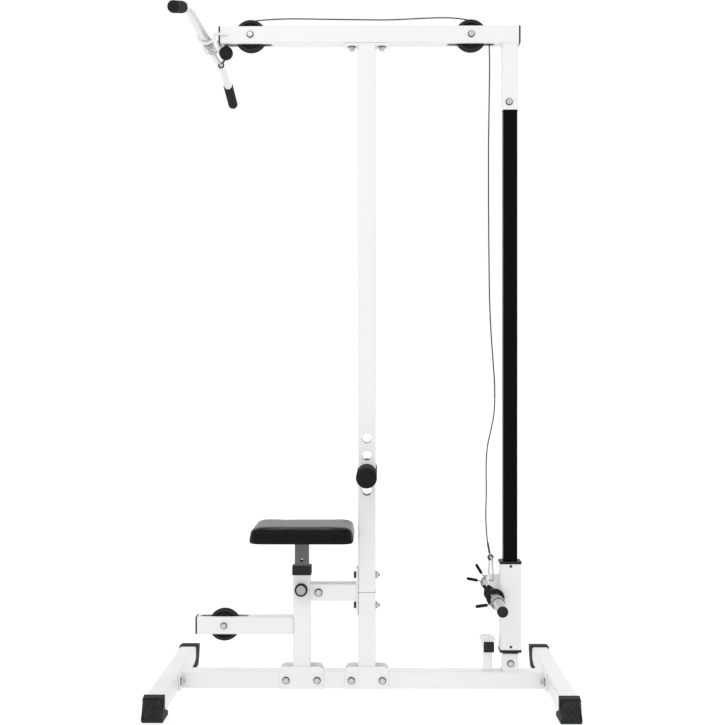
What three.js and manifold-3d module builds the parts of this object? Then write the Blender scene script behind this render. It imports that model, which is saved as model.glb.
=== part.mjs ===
// Plate-loaded cable tower: lat pulldown above, low pulley below, one guided weight carriage.
// Millimetres, +X towards the weight carriage, +Y across the machine, +Z up, origin on the floor
// at the centre of the footprint.
import * as THREE from 'three';
import { mergeVertices } from 'three/addons/utils/BufferGeometryUtils.js';
import Module from 'manifold-3d';

const wasm = await Module();
wasm.setup();

// ---------------------------------------------------------------- driving dimensions

const gap = 0.3;                 // between faces that touch
const slip = 0.8;                // round a pin or bar in its hole
const frameTube = { side: 50, wall: 2, corner: 5 };
const facets = { hole: 8, rod: 18, turned: 20, pulley: 24, corner: 1, slotEnd: 2 };

const footSpacing = 1097;        // centre to centre along X
const footLength = 670;
const floorLift = 14;            // the caps' soles carry the tubes this high
const cap = { wall: 2.7, top: 42, sole: 86, toe: 6, chamfer: 11 };

const uprightX = 12;
const uprightJointZ = 290;
const beamTopZ = 1913;
const beamFrontX = -413.5;
const beamRearX = 451.5;
const capThickness = 4.5;        // black end caps of the open tubes
const capPlug = 9;

const saddle = { length: 123, height: 64, plate: 4, boltSpacing: 89, corner: 14 };
const endPlate = { thickness: 5, width: 116, boltSpacing: 84 };
const topFlange = { length: 130, thickness: 5, boltSpacing: 87 };
const frameBolt = 10;
const insert = { length: 150, wall: 2.5 };

const seatPostX = -175;
const seatPostTopZ = 339;
const seatArmZ = 290;
const armFlange = { low: 225, high: 360, thickness: 5, boltLow: 250, boltHigh: 337 };
const armStub = { shoulder: 7.5, length: 40, side: 44.6, boltX: 48.5 };

const lowArmZ = 194;
const lowArmFrontX = -479.5;
const lowPulleyX = -398;
const frontPulleyX = -322.5;
const rearPulleyX = 310.5;
const pulley = { radius: 46, width: 22, groove: 39.5, lip: 3, hub: 15, web: 12 };
const pulleyPin = 10;
const slot = { length: 140, width: 27, frontShift: -6 };
const hexAcross = 17;
const hexHeight = 7;

const guideX = 423;
const guideTube = { side: 40, wall: 2, corner: 3 };
const socketWall = 2;
const socketPlay = 0.5;          // round the guide tube in its sockets
const socket = { side: guideTube.side + 2 * (socketWall + socketPlay), wall: socketWall };
const lowerSocketTop = 115;
const upperSocketBottom = 1672;
const socketBolt = { lowLift: 23, highLift: 22, highShift: -4 };
const buffer = 3.8;

const sleeve = { side: 60, wall: 2.5, corner: 5, length: 245 };
const bush = { flange: 7.3, overhang: 1.2, depth: 28 };
const horn = { diameter: 30, wall: 2.5, halfLength: 250, z: 278 };
const hornCap = { plug: 16, end: 6, edge: 2 };
const hornStop = { diameter: 52, thickness: 12, from: 36 };
const eyePlate = { reach: 33, low: 291, high: 340, thickness: 5, hole: 14, holeX: 24, holeZ: 319 };

const collar = { outer: 42, width: 16, slip: 0.7, handle: 10, from: 24, to: 64 };
const collarNearY = -122;
const collarFarY = 232;
const collarAngles = { near: [188, 130], far: [169, 122] };

const hook = { wire: 5.5, carriageLength: 74, barLength: 52.5, bigRadius: 10,
  smallRadius: 6.5, nose: 8, gateGap: 0.8, turn: 32 };

const cable = 3.5;
const eyeWire = 4.4;
const stopperDrop = 22.5;        // its centre below the beam
const eyeDrop = 35;              // from there to the loop's centre
const barRise = 65.5;            // the rested bar above the loop
const stopper = { diameter: 40.5, x: -394.5, z: beamTopZ - frameTube.side - stopperDrop };
const frontEye = { x: -408.5, z: stopper.z - eyeDrop, radius: 7 };
const rearEye = { x: 367.5, z: 388, radius: 6.9 };

const bar = { diameter: 25, wall: 2, x: -447, z: frontEye.z + barRise, straight: 355, slope: 15.5, bend: 40, yaw: -0.8 };
const barReach = 572;            // half the bar's overall width
const barTab = { reach: 29, thickness: 6, hole: 13, width: 24, collar: 34, collarLength: 22 };
const grip = { wall: 2.6, length: 125, end: 4 };
const rest = { rod: 8, offset: 62, root: 388, tip: 24, clear: 1.2 };

const seatTube = { side: 40, wall: 2, corner: 3, bottom: 150, top: 437 };
const seatHole = { diameter: 9, pitch: 40, below: 3, above: 2 };
const seatPinZ = 301;
const seatCollar = { side: 55, height: 25, depth: 32 };
const seatPlate = { length: 170, width: 120, thickness: 5 };
const seatPad = { length: 292, width: 245, thickness: 49, corner: 26, edge: 9 };
const seatPadX = -171.5;
const knob = { diameter: 37, length: 22, pin: 8, boss: 18, bossLength: 12 };

const roller = { diameter: 58, length: 150, inner: 40, bar: 25, edge: 8 };
const rollerHole = { diameter: 28, top: 731, pitch: 50, count: 4, used: 2 };

const stand = { x: 358.5, post: 25, cross: 30, crossLength: 96, bottom: 125, plate: 43,
  plateDepth: 60, plateThickness: 2.5 };

// ---------------------------------------------------------------- levels that follow

const half = frameTube.side / 2;
const bore = frameTube.side - 2 * frameTube.wall;
const railTop = floorLift + frameTube.side;
const railZ = floorLift + half;
const beamZ = beamTopZ - half;
const beamBottom = beamTopZ - frameTube.side;
const carriageBottom = lowerSocketTop + gap + buffer + gap;
const sleeveBottom = carriageBottom + bush.flange + gap;
const sleeveTop = sleeveBottom + sleeve.length;
const hornX = guideX - sleeve.side / 2 - horn.diameter / 2 - gap;
const rollerZ = rollerHole.top - rollerHole.used * rollerHole.pitch;

// ---------------------------------------------------------------- solids

function toSolid(geometry) {
  const plain = geometry.clone();
  plain.deleteAttribute('normal');
  plain.deleteAttribute('uv');
  const merged = mergeVertices(plain, 1e-4);
  const mesh = new wasm.Mesh({
    numProp: 3,
    vertProperties: new Float32Array(merged.attributes.position.array),
    triVerts: new Uint32Array(merged.index.array),
  });
  return new wasm.Manifold(mesh);
}

function toGeometry(solid) {
  const mesh = solid.getMesh();
  const geometry = new THREE.BufferGeometry();
  geometry.setAttribute('position', new THREE.BufferAttribute(mesh.vertProperties, 3));
  geometry.setIndex(new THREE.BufferAttribute(mesh.triVerts, 1));
  return geometry;
}

function join(first, ...others) {
  return toGeometry(others.reduce((sum, other) => sum.add(toSolid(other)), toSolid(first)));
}

function cut(first, ...others) {
  return toGeometry(others.reduce((left, other) => left.subtract(toSolid(other)), toSolid(first)));
}

// Turns a shape that was made along +Z so that it runs along the named axis, then moves it.
function along(geometry, axis, x, y, z) {
  if (axis === 'x') geometry.rotateY(Math.PI / 2);
  if (axis === 'y') geometry.rotateX(-Math.PI / 2);
  return geometry.translate(x, y, z);
}

function block(sizeX, sizeY, sizeZ, x, y, z) {
  return new THREE.BoxGeometry(sizeX, sizeY, sizeZ).translate(x, y, z);
}

function rod(axis, diameter, length, x, y, z, sides = facets.hole) {
  const cylinder = new THREE.CylinderGeometry(diameter / 2, diameter / 2, length, sides);
  return along(cylinder.rotateX(Math.PI / 2), axis, x, y, z);
}

function hexPrism(across, length, x, y, z) {
  const prism = new THREE.CylinderGeometry(across / Math.sqrt(3), across / Math.sqrt(3), length, 6);
  return prism.translate(x, y, z);
}

function roundedRectangle(width, height, radius, outline = new THREE.Shape()) {
  const w = width / 2 - radius;
  const h = height / 2 - radius;
  outline.absarc(w, h, radius, 0, Math.PI / 2);
  outline.absarc(-w, h, radius, Math.PI / 2, Math.PI);
  outline.absarc(-w, -h, radius, Math.PI, 1.5 * Math.PI);
  outline.absarc(w, -h, radius, 1.5 * Math.PI, 2 * Math.PI);
  outline.closePath();
  return outline;
}

function extruded(shape, depth, curveSegments = facets.corner) {
  const geometry = new THREE.ExtrudeGeometry(shape, { depth, bevelEnabled: false, curveSegments });
  return geometry.translate(0, 0, -depth / 2);
}

function solidBar(side, corner, length, axis, x, y, z) {
  return along(extruded(roundedRectangle(side, side, corner), length), axis, x, y, z);
}

// A square tube: outer side, wall and outer corner radius, centred on x, y, z.
function squareTube({ side, wall, corner = 4 }, length, axis, x, y, z) {
  const shape = roundedRectangle(side, side, corner);
  const inner = Math.max(corner - wall, 0.8);
  shape.holes.push(roundedRectangle(side - 2 * wall, side - 2 * wall, inner, new THREE.Path()));
  return along(extruded(shape, length), axis, x, y, z);
}

// A flat plate with its outline in X and Z and its thickness along Y.
function sidePlate(shape, thickness, y) {
  return extruded(shape, thickness, 3).rotateX(Math.PI / 2).translate(0, y, 0);
}

function circleOutline(radius, sides) {
  const points = [];
  for (let i = 0; i < sides; i += 1) {
    const angle = (i / sides) * 2 * Math.PI;
    points.push(new THREE.Vector2(Math.cos(angle) * radius, Math.sin(angle) * radius));
  }
  return new THREE.Shape(points);
}

function bentRod(path, diameter, steps, sides = 8) {
  const shape = circleOutline(diameter / 2, sides);
  return new THREE.ExtrudeGeometry(shape, { steps, extrudePath: path });
}

function smoothPath(points) {
  return new THREE.CatmullRomCurve3(points.map((p) => new THREE.Vector3(...p)), false, 'centripetal');
}

// A ring or sleeve about Z from a closed profile of radius and height pairs.
function turned(profile, segments = facets.turned) {
  const points = [...profile, profile[0]].map(([r, z]) => new THREE.Vector2(r, z));
  return new THREE.LatheGeometry(points, segments).rotateX(Math.PI / 2);
}

// ---------------------------------------------------------------- finishes

const finish = {
  whitePaint: new THREE.MeshStandardMaterial({ color: 0xf1f1ef, roughness: 0.35, metalness: 0.1 }),
  blackPaint: new THREE.MeshStandardMaterial({ color: 0x141414, roughness: 0.4, metalness: 0.3 }),
  blackPlastic: new THREE.MeshStandardMaterial({ color: 0x101010, roughness: 0.55, metalness: 0 }),
  blackRubber: new THREE.MeshStandardMaterial({ color: 0x131313, roughness: 0.85, metalness: 0 }),
  vinyl: new THREE.MeshStandardMaterial({ color: 0x17171a, roughness: 0.45, metalness: 0 }),
  foam: new THREE.MeshStandardMaterial({ color: 0x1a1a1a, roughness: 0.95, metalness: 0 }),
  zinc: new THREE.MeshStandardMaterial({ color: 0xb9bcc0, roughness: 0.3, metalness: 0.9 }),
  greySteel: new THREE.MeshStandardMaterial({ color: 0x6c6d70, roughness: 0.4, metalness: 0.7 }),
  cableCoat: new THREE.MeshStandardMaterial({ color: 0x1c1c1c, roughness: 0.5, metalness: 0 }),
};

const tower = new THREE.Group();

function add(name, geometry, material, parent = tower) {
  const mesh = new THREE.Mesh(geometry, material);
  mesh.name = name;
  parent.add(mesh);
  return mesh;
}

// ---------------------------------------------------------------- feet and base rail

const footX = footSpacing / 2;
const railEndX = footX - half - gap;
const railLength = 2 * (railEndX - endPlate.thickness) + 1;

for (const [name, side] of [['front', -1], ['rear', 1]]) {
  const boltHoles = [-1, 1].map((end) => rod('x', frameBolt + slip, 2 * frameTube.side,
    side * footX, end * endPlate.boltSpacing / 2, railZ));
  const tube = squareTube(frameTube, footLength, 'y', side * footX, 0, railZ);
  add(`${name}_foot`, cut(tube, ...boltHoles), finish.whitePaint);

  for (const [place, end] of [['near', -1], ['far', 1]]) {
    const top = railTop + gap + cap.wall;
    const outer = cap.wall + gap;
    const outline = new THREE.Shape();
    outline.moveTo(outer, top);
    outline.lineTo(outer + cap.toe, cap.chamfer);
    outline.lineTo(outer + cap.toe - cap.chamfer, 0);
    outline.lineTo(-cap.sole, 0);
    outline.lineTo(-cap.sole, floorLift - gap - 2);
    outline.lineTo(-cap.top, railZ);
    outline.lineTo(-cap.top, top);
    outline.closePath();
    const shell = extruded(outline, frameTube.side + 2 * (gap + cap.wall));
    shell.rotateX(Math.PI / 2).rotateZ(Math.PI / 2);
    const pocket = block(frameTube.side + 2 * gap, cap.sole * 2, frameTube.side + 2 * gap,
      0, -cap.sole + gap, railZ);
    const shape = cut(shell, pocket);
    if (end < 0) shape.rotateZ(Math.PI);
    shape.translate(side * footX, end * footLength / 2, 0);
    add(`foot_cap_${name}_${place}`, shape, finish.blackRubber);
  }
}

const railParts = [-1, 1].map((end) => block(endPlate.thickness, endPlate.width, frameTube.side,
  end * (railEndX - endPlate.thickness / 2), 0, railZ));
const railHoles = [-1, 1].flatMap((end) => [-1, 1].map((side) => rod('x', frameBolt + slip,
  4 * endPlate.thickness, end * railEndX, side * endPlate.boltSpacing / 2, railZ)));
for (const x of [seatPostX, uprightX]) {
  for (const side of [-1, 1]) {
    railHoles.push(rod('y', frameBolt + slip, 2 * frameTube.side,
      x + side * saddle.boltSpacing / 2, 0, railZ));
  }
}
const lowerSocket = { ...socket, corner: guideTube.corner + socket.wall };
const socketLength = lowerSocketTop - railTop + 1;
railParts.push(squareTube(lowerSocket, socketLength, 'z', guideX, 0, lowerSocketTop - socketLength / 2));
railHoles.push(rod('y', frameBolt, 2 * socket.side, guideX, 0, railTop + socketBolt.lowLift));
const rail = squareTube(frameTube, railLength, 'x', 0, 0, railZ);
add('base_rail', cut(join(rail, ...railParts), ...railHoles), finish.whitePaint);

// ---------------------------------------------------------------- posts

// The two side plates that straddle the rail under a post, with the welds that hold them to it.
function saddlePlates(x) {
  const outline = new THREE.Shape();
  const w = saddle.length / 2;
  const top = floorLift + saddle.height;
  outline.moveTo(x - w, floorLift);
  outline.lineTo(x + w, floorLift);
  outline.lineTo(x + w, top - saddle.corner);
  outline.absarc(x + w - saddle.corner, top - saddle.corner, saddle.corner, 0, Math.PI / 2);
  outline.absarc(x - w + saddle.corner, top - saddle.corner, saddle.corner, Math.PI / 2, Math.PI);
  outline.closePath();
  const weldLow = railTop + gap;
  const weldHeight = top - weldLow - 2;
  return [-1, 1].flatMap((side) => {
    const plate = sidePlate(outline, saddle.plate, side * (half + gap + saddle.plate / 2));
    const weld = block(frameTube.side - 2 * frameTube.corner, 2, weldHeight,
      x, side * half, weldLow + weldHeight / 2);
    return [plate, weld];
  });
}

function saddleHoles(x) {
  return [-1, 1].map((side) => rod('y', frameBolt + slip, 2 * frameTube.side,
    x + side * saddle.boltSpacing / 2, 0, railZ));
}

const postBottom = railTop + gap;
const lowerLength = uprightJointZ - gap / 2 - postBottom;
const armBolts = [armFlange.boltLow, armFlange.boltHigh].map((z) => (
  rod('x', frameBolt + slip, 2.4 * frameTube.side, uprightX, 0, z)));
const lowerTube = squareTube(frameTube, lowerLength, 'z', uprightX, 0, postBottom + lowerLength / 2);
add('lower_upright', cut(join(lowerTube, ...saddlePlates(uprightX)), ...saddleHoles(uprightX),
  ...armBolts), finish.whitePaint);

const flangeTop = beamBottom - gap;
const upperBottom = uprightJointZ + gap / 2;
const upperLength = flangeTop - topFlange.thickness - upperBottom + 1;
const rollerHoles = [];
for (let i = 0; i < rollerHole.count; i += 1) {
  rollerHoles.push(rod('y', rollerHole.diameter, 2 * frameTube.side,
    uprightX, 0, rollerHole.top - i * rollerHole.pitch, facets.rod));
}
const flangeHoles = [-1, 1].map((side) => rod('z', frameBolt + slip, 3 * topFlange.thickness,
  uprightX + side * topFlange.boltSpacing / 2, 0, flangeTop));
const upperTube = squareTube(frameTube, upperLength, 'z', uprightX, 0, upperBottom + upperLength / 2);
const flange = block(topFlange.length, frameTube.side, topFlange.thickness,
  uprightX, 0, flangeTop - topFlange.thickness / 2);
add('upper_upright', cut(join(upperTube, flange), ...rollerHoles, ...flangeHoles, ...armBolts),
  finish.whitePaint);

const insertTube = { side: bore - 2 * gap, wall: insert.wall, corner: frameTube.corner - frameTube.wall };
add('upright_insert', cut(squareTube(insertTube, insert.length, 'z', uprightX, 0, uprightJointZ),
  ...armBolts), finish.greySteel);

// Seat post with its saddle, the stub for the seat arm and the threaded boss for the pull pin.
const seatPostLength = seatPostTopZ - postBottom;
const stubTube = { side: armStub.side, wall: 2, corner: 3 };
const stubStart = seatPostX + half - 1;
const seatPost = join(
  squareTube(frameTube, seatPostLength, 'z', seatPostX, 0, postBottom + seatPostLength / 2),
  ...saddlePlates(seatPostX),
  squareTube(frameTube, armStub.shoulder + 1, 'x', stubStart + (armStub.shoulder + 1) / 2, 0, seatArmZ),
  squareTube(stubTube, armStub.shoulder + armStub.length, 'x',
    stubStart + (armStub.shoulder + armStub.length) / 2, 0, seatArmZ),
  rod('y', knob.boss, knob.bossLength, seatPostX, -half - knob.bossLength / 2 + 1, seatPinZ),
);
const stubBolt = rod('y', frameBolt + slip, 2 * frameTube.side, seatPostX + armStub.boltX, 0, seatArmZ);
const pinHole = rod('y', knob.pin + slip, 3 * knob.bossLength, seatPostX, -half, seatPinZ);
const seatBore = block(bore - 2, bore - 2, seatPostLength - 4, seatPostX, 0,
  postBottom + seatPostLength / 2);
add('seat_post', cut(seatPost, seatBore, ...saddleHoles(seatPostX), stubBolt, pinHole),
  finish.whitePaint);

const armStart = seatPostX + half + armStub.shoulder + gap;
const flangeX = uprightX - half - gap - armFlange.thickness / 2;
const armLength = flangeX - armStart;
const armPlate = block(armFlange.thickness, frameTube.side, armFlange.high - armFlange.low,
  flangeX, 0, (armFlange.high + armFlange.low) / 2);
add('seat_arm', cut(
  join(squareTube(frameTube, armLength, 'x', armStart + armLength / 2, 0, seatArmZ), armPlate),
  stubBolt, ...armBolts,
), finish.whitePaint);

// ---------------------------------------------------------------- tubes that hold the pulleys

function slotCutter(x, z) {
  const outline = roundedRectangle(slot.length, slot.width, slot.width / 2 - 0.1);
  return extruded(outline, 2 * frameTube.side, facets.slotEnd).translate(x, 0, z);
}

function pinHoleAt(x, z) {
  return rod('y', pulleyPin + slip, 2 * frameTube.side, x, 0, z);
}

const lowArmEnd = seatPostX - half - gap;
const lowArmLength = lowArmEnd - lowArmFrontX - capThickness;
const lowArmX = lowArmEnd - lowArmLength / 2;
add('low_pulley_arm', cut(
  squareTube(frameTube, lowArmLength, 'x', lowArmX, 0, lowArmZ),
  slotCutter(lowPulleyX, lowArmZ), pinHoleAt(lowPulleyX, lowArmZ),
), finish.whitePaint);

const beamLength = beamRearX - beamFrontX - 2 * (capThickness + gap);
const beamX = (beamFrontX + beamRearX) / 2;
const upperSocketLength = beamBottom - upperSocketBottom + 1;
const upperSocket = squareTube(lowerSocket, upperSocketLength, 'z', guideX, 0,
  upperSocketBottom + upperSocketLength / 2);
add('top_beam', cut(
  join(squareTube(frameTube, beamLength, 'x', beamX, 0, beamZ), upperSocket),
  slotCutter(frontPulleyX + slot.frontShift, beamZ), pinHoleAt(frontPulleyX, beamZ),
  slotCutter(rearPulleyX, beamZ), pinHoleAt(rearPulleyX, beamZ),
  rod('y', frameBolt, 2 * frameTube.side,
    guideX + socketBolt.highShift, 0, upperSocketBottom + socketBolt.highLift),
  ...[-1, 1].map((side) => rod('z', frameBolt + slip, 3 * frameTube.side,
    uprightX + side * topFlange.boltSpacing / 2, 0, beamZ)),
), finish.whitePaint);

// A black cap with the plug that holds it in the open end of a tube; end is -1 or 1 along X.
function tubeCap(name, endX, end, z) {
  const plate = solidBar(frameTube.side, frameTube.corner, capThickness, 'x',
    endX - end * capThickness / 2, 0, z);
  const plugLength = capPlug + capThickness - 1;
  const plug = solidBar(bore - 2 * gap, 3, plugLength, 'x', endX - end * (1 + plugLength / 2), 0, z);
  add(name, join(plate, plug), finish.blackPlastic);
}

tubeCap('beam_cap_front', beamFrontX, -1, beamZ);
tubeCap('beam_cap_rear', beamRearX, 1, beamZ);
tubeCap('arm_cap', lowArmFrontX - gap, -1, lowArmZ);

// ---------------------------------------------------------------- pulleys

function pulleyProfile() {
  const w = pulley.width / 2;
  const r = (pulleyPin + slip) / 2;
  const throat = cable / 2 + slip;
  return [
    [r, -w], [pulley.hub, -w], [pulley.groove - 6, -pulley.web / 2], [pulley.radius, -w],
    [pulley.radius, -w + pulley.lip], [pulley.groove, -throat / 2], [pulley.groove, throat / 2],
    [pulley.radius, w - pulley.lip], [pulley.radius, w], [pulley.groove - 6, pulley.web / 2],
    [pulley.hub, w], [r, w],
  ];
}

for (const [name, x, z] of [
  ['front', frontPulleyX, beamZ], ['rear', rearPulleyX, beamZ], ['low', lowPulleyX, lowArmZ],
]) {
  add(`${name}_pulley`, along(turned(pulleyProfile(), facets.pulley), 'y', x, 0, z), finish.blackPlastic);
  const spacerFrom = pulley.width / 2 + gap;
  const spacerTo = half - frameTube.wall - gap;
  const spacers = [-1, 1].map((side) => rod('y', pulleyPin + 8, spacerTo - spacerFrom,
    x, side * (spacerFrom + spacerTo) / 2, z));
  const heads = [-1, 1].map((side) => hexPrism(hexAcross, hexHeight,
    x, side * (half + gap + hexHeight / 2), z));
  add(`${name}_pulley_bolt`, join(rod('y', pulleyPin, frameTube.side + 2 * hexHeight, x, 0, z),
    ...spacers, ...heads), finish.zinc);
}

// ---------------------------------------------------------------- guide and weight carriage

const guideBottom = railTop + 4;
const guideTop = beamBottom - 2;
const guideLength = guideTop - guideBottom;
add('guide_tube', cut(
  squareTube(guideTube, guideLength, 'z', guideX, 0, (guideTop + guideBottom) / 2),
  rod('y', frameBolt, 2 * socket.side, guideX, 0, railTop + socketBolt.lowLift),
  rod('y', frameBolt, 2 * socket.side,
    guideX + socketBolt.highShift, 0, upperSocketBottom + socketBolt.highLift),
), finish.blackPaint);

const bufferWall = (socket.side - guideTube.side) / 2 - slip / 2;
add('bottom_buffer', squareTube({ side: socket.side, wall: bufferWall, corner: 4 }, buffer, 'z',
  guideX, 0, lowerSocketTop + gap + buffer / 2), finish.blackRubber);

const tab = new THREE.Shape();
const sleeveFront = guideX - sleeve.side / 2;
const tabTip = eyePlate.high - eyePlate.holeZ;
const holeX = sleeveFront - eyePlate.holeX;
tab.moveTo(sleeveFront + 1, eyePlate.low);
tab.lineTo(sleeveFront + 1, eyePlate.high);
tab.lineTo(holeX, eyePlate.high);
tab.absarc(holeX, eyePlate.holeZ + tabTip - eyePlate.hole, eyePlate.hole, Math.PI / 2, Math.PI);
tab.lineTo(sleeveFront - eyePlate.reach, eyePlate.low + 20);
tab.lineTo(sleeveFront - eyePlate.reach / 3, eyePlate.low + 5);
tab.closePath();
add('carriage_sleeve', cut(
  join(squareTube(sleeve, sleeve.length, 'z', guideX, 0, sleeveBottom + sleeve.length / 2),
    sidePlate(tab, eyePlate.thickness, 0)),
  rod('y', eyePlate.hole, 4 * eyePlate.thickness, holeX, 0, eyePlate.holeZ, facets.rod),
), finish.whitePaint);

for (const [name, end, z] of [['top', 1, sleeveTop + gap], ['bottom', -1, sleeveBottom - gap]]) {
  const hole = guideTube.side + slip;
  const flangeSide = sleeve.side + 2 * bush.overhang;
  const depth = bush.depth + bush.flange;
  const insideSide = sleeve.side - 2 * sleeve.wall - 2 * gap;
  const liner = join(
    solidBar(flangeSide, sleeve.corner, bush.flange, 'z', guideX, 0, z + end * bush.flange / 2),
    solidBar(insideSide, 3, depth, 'z', guideX, 0, z + end * (bush.flange - depth / 2)),
  );
  const opening = solidBar(hole, guideTube.corner, 3 * depth, 'z', guideX, 0, z);
  add(`carriage_bush_${name}`, cut(liner, opening), finish.blackPlastic);
}

const hornR = horn.diameter / 2;
const hornTube = turned([
  [hornR - horn.wall, -horn.halfLength], [hornR, -horn.halfLength],
  [hornR, horn.halfLength], [hornR - horn.wall, horn.halfLength],
]);
add('weight_horns', along(hornTube, 'y', hornX, 0, horn.z), finish.zinc);
for (const [name, side] of [['near', -1], ['far', 1]]) {
  const r = hornR + gap;
  const plugR = hornR - horn.wall - 2 * gap;
  const end = horn.halfLength + gap;
  const capShell = turned([
    [0, end - hornCap.plug], [plugR, end - hornCap.plug], [plugR, end], [hornR, end],
    [hornR, end + hornCap.end - hornCap.edge], [hornR - hornCap.edge, end + hornCap.end],
    [0, end + hornCap.end],
  ]);
  const stop = turned([
    [r, hornStop.from], [hornStop.diameter / 2, hornStop.from],
    [hornStop.diameter / 2, hornStop.from + hornStop.thickness],
    [r, hornStop.from + hornStop.thickness],
  ]);
  for (const shape of [capShell, stop]) {
    if (side < 0) shape.rotateX(Math.PI);
  }
  add(`horn_cap_${name}`, along(capShell, 'y', hornX, 0, horn.z), finish.blackPlastic);
  add(`horn_stop_${name}`, along(stop, 'y', hornX, 0, horn.z), finish.blackRubber);
}

// Spring collars: the coil as a sleeve, with its two gripped ends standing out from it.
for (const [name, y] of [['near', collarNearY], ['far', collarFarY]]) {
  const r = horn.diameter / 2 + collar.slip;
  const w = collar.width / 2;
  const coil = along(turned([[r, -w], [collar.outer / 2, -w], [collar.outer / 2, w], [r, w]]),
    'y', hornX, y, horn.z);
  const handles = collarAngles[name].map((degrees, i) => {
    const length = collar.to - collar.from + 8;
    const handle = rod('x', collar.handle, length, collar.to - length / 2, 0, 0);
    handle.rotateY((-degrees * Math.PI) / 180);
    return handle.translate(hornX, y + (i ? 1 : -1) * (w - collar.handle / 2), horn.z);
  });
  add(`spring_collar_${name}`, join(coil, ...handles), finish.zinc);
}

// ---------------------------------------------------------------- low stand beside the guide

const crossZ = stand.bottom + stand.cross / 2;
const standPostLength = stand.bottom - railTop - gap + 1;
const crossTube = { side: stand.cross, wall: 2, corner: 3 };
add('carriage_stand', join(
  squareTube({ side: stand.post, wall: 2, corner: 3 }, standPostLength, 'z',
    stand.x, 0, railTop + gap + standPostLength / 2),
  squareTube(crossTube, stand.crossLength, 'y', stand.x, 0, crossZ),
  block(stand.plate, stand.plateDepth, stand.plateThickness,
    stand.x, 0, stand.bottom + stand.cross + 1),
), finish.whitePaint);

// ---------------------------------------------------------------- cable

// The slack run over both pulleys; its ends point down into the two pulley slots.
const topRun = [
  [-394, 0, 1876], [-392, 0, 1889], [-384, 0, 1904], [-368, 0, 1921], [-347, 0, 1930.5],
  [-322, 0, 1931.5], [-282, 0, 1936], [-216, 0, 1939], [-95, 0, 1937.5], [75, 0, 1935.5],
  [159, 0, 1939], [218, 0, 1941], [262, 0, 1940], [299, 0, 1935], [330, 0, 1925],
  [349, 0, 1911], [359, 0, 1894], [363, 0, 1878],
];
// The loose drop to the carriage.
const drop = [
  [363.5, 0, 1876], [365, 0, 1809], [364, 0, 1722], [362, 0, 1578], [362, 0, 1405],
  [363.5, 0, 1221], [365, 0, 1129], [369, 0, 1036], [375.5, 0, 944], [379.5, 0, 876],
  [378, 0, 806], [370, 0, 760], [360, 0, 714], [355.5, 0, 667], [355.5, 0, 575],
  [354, 0, 506], [358, 0, 440], [364, 0, 404], [365.5, 0, 398.5],
];
const frontFall = [[-394, 0, 1875.5], [-394.3, 0, 1869], [-394.5, 0, 1862]];

add('cable_top', bentRod(smoothPath(topRun), cable, 40), finish.cableCoat);
add('cable_drop', bentRod(smoothPath(drop), cable, 40), finish.cableCoat);
add('cable_front', bentRod(smoothPath(frontFall), cable, 4), finish.cableCoat);

// The cable's crimped end loops stand in the X Z plane.
function endLoop(eye) {
  return new THREE.TorusGeometry(eye.radius, eyeWire / 2, 6, 14).rotateX(Math.PI / 2)
    .translate(eye.x, 0, eye.z);
}

add('cable_eye_rear', endLoop(rearEye), finish.cableCoat);
add('cable_eye_front', endLoop(frontEye), finish.cableCoat);

add('stopper_ball', new THREE.SphereGeometry(stopper.diameter / 2, 18, 12)
  .translate(stopper.x, 0, stopper.z), finish.blackRubber);

// ---------------------------------------------------------------- snap hooks

// An open pear-shaped hook of round wire, small end at the origin and big end at -length along Z,
// in the Y Z plane, with its gate as a separate straight piece across the opening.
function snapHook(length) {
  const top = hook.smallRadius;
  const bottom = hook.bigRadius;
  const reach = length - hook.wire;
  const points = [];
  for (let degrees = 0; degrees <= 180; degrees += 30) {
    const a = (degrees * Math.PI) / 180;
    points.push([0, top * Math.cos(a), top * (Math.sin(a) - 1)]);
  }
  for (let degrees = 180; degrees <= 360; degrees += 30) {
    const a = (degrees * Math.PI) / 180;
    points.push([0, bottom * Math.cos(a), bottom - reach + bottom * Math.sin(a)]);
  }
  const gateTop = -top - 8;
  const gateBottom = bottom - reach + hook.nose;
  points.unshift([0, top + 0.4, gateTop]);
  points.push([0, bottom, gateBottom]);
  const from = new THREE.Vector3(0, top + 0.4, gateTop - hook.gateGap);
  const to = new THREE.Vector3(0, bottom, gateBottom + hook.gateGap);
  return { body: bentRod(smoothPath(points), hook.wire, 22), from, to };
}

function straightRod(from, to, diameter) {
  return bentRod(new THREE.LineCurve3(from, to), diameter, 1);
}

function addHook(name, length, place) {
  const { body, from, to } = snapHook(length);
  const gate = straightRod(from, to, hook.wire - 1);
  add(name, place(body), finish.zinc);
  add(`${name}_gate`, place(gate), finish.zinc);
}

const turn = (hook.turn * Math.PI) / 180;
const rearHookTop = rearEye.z + rearEye.radius - (eyeWire + hook.wire) / 2 - slip;
addHook('carriage_hook', hook.carriageLength, (geometry) => geometry.rotateZ(turn)
  .translate(rearEye.x + 0.6, 0, rearHookTop));

const barCentre = new THREE.Vector3(bar.x, 0, bar.z);
const loopCentre = new THREE.Vector3(frontEye.x, 0, frontEye.z);
const pull = loopCentre.clone().sub(barCentre).normalize();
const lean = Math.atan2(-pull.x, -pull.z);
const barHookTop = loopCentre.clone().addScaledVector(pull, 1);
addHook('bar_hook', hook.barLength, (geometry) => geometry.rotateX(Math.PI).rotateY(lean)
  .translate(barHookTop.x, 0, barHookTop.z));

// ---------------------------------------------------------------- lat bar

const slope = (bar.slope * Math.PI) / 180;
const barGroup = new THREE.Group();
barGroup.position.set(bar.x, 0, bar.z);
barGroup.rotation.z = (bar.yaw * Math.PI) / 180;
tower.add(barGroup);

function barPoint(y) {
  const beyond = Math.abs(y) - bar.straight;
  return beyond <= 0 ? 0 : -Math.tan(slope) * beyond;
}

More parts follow.
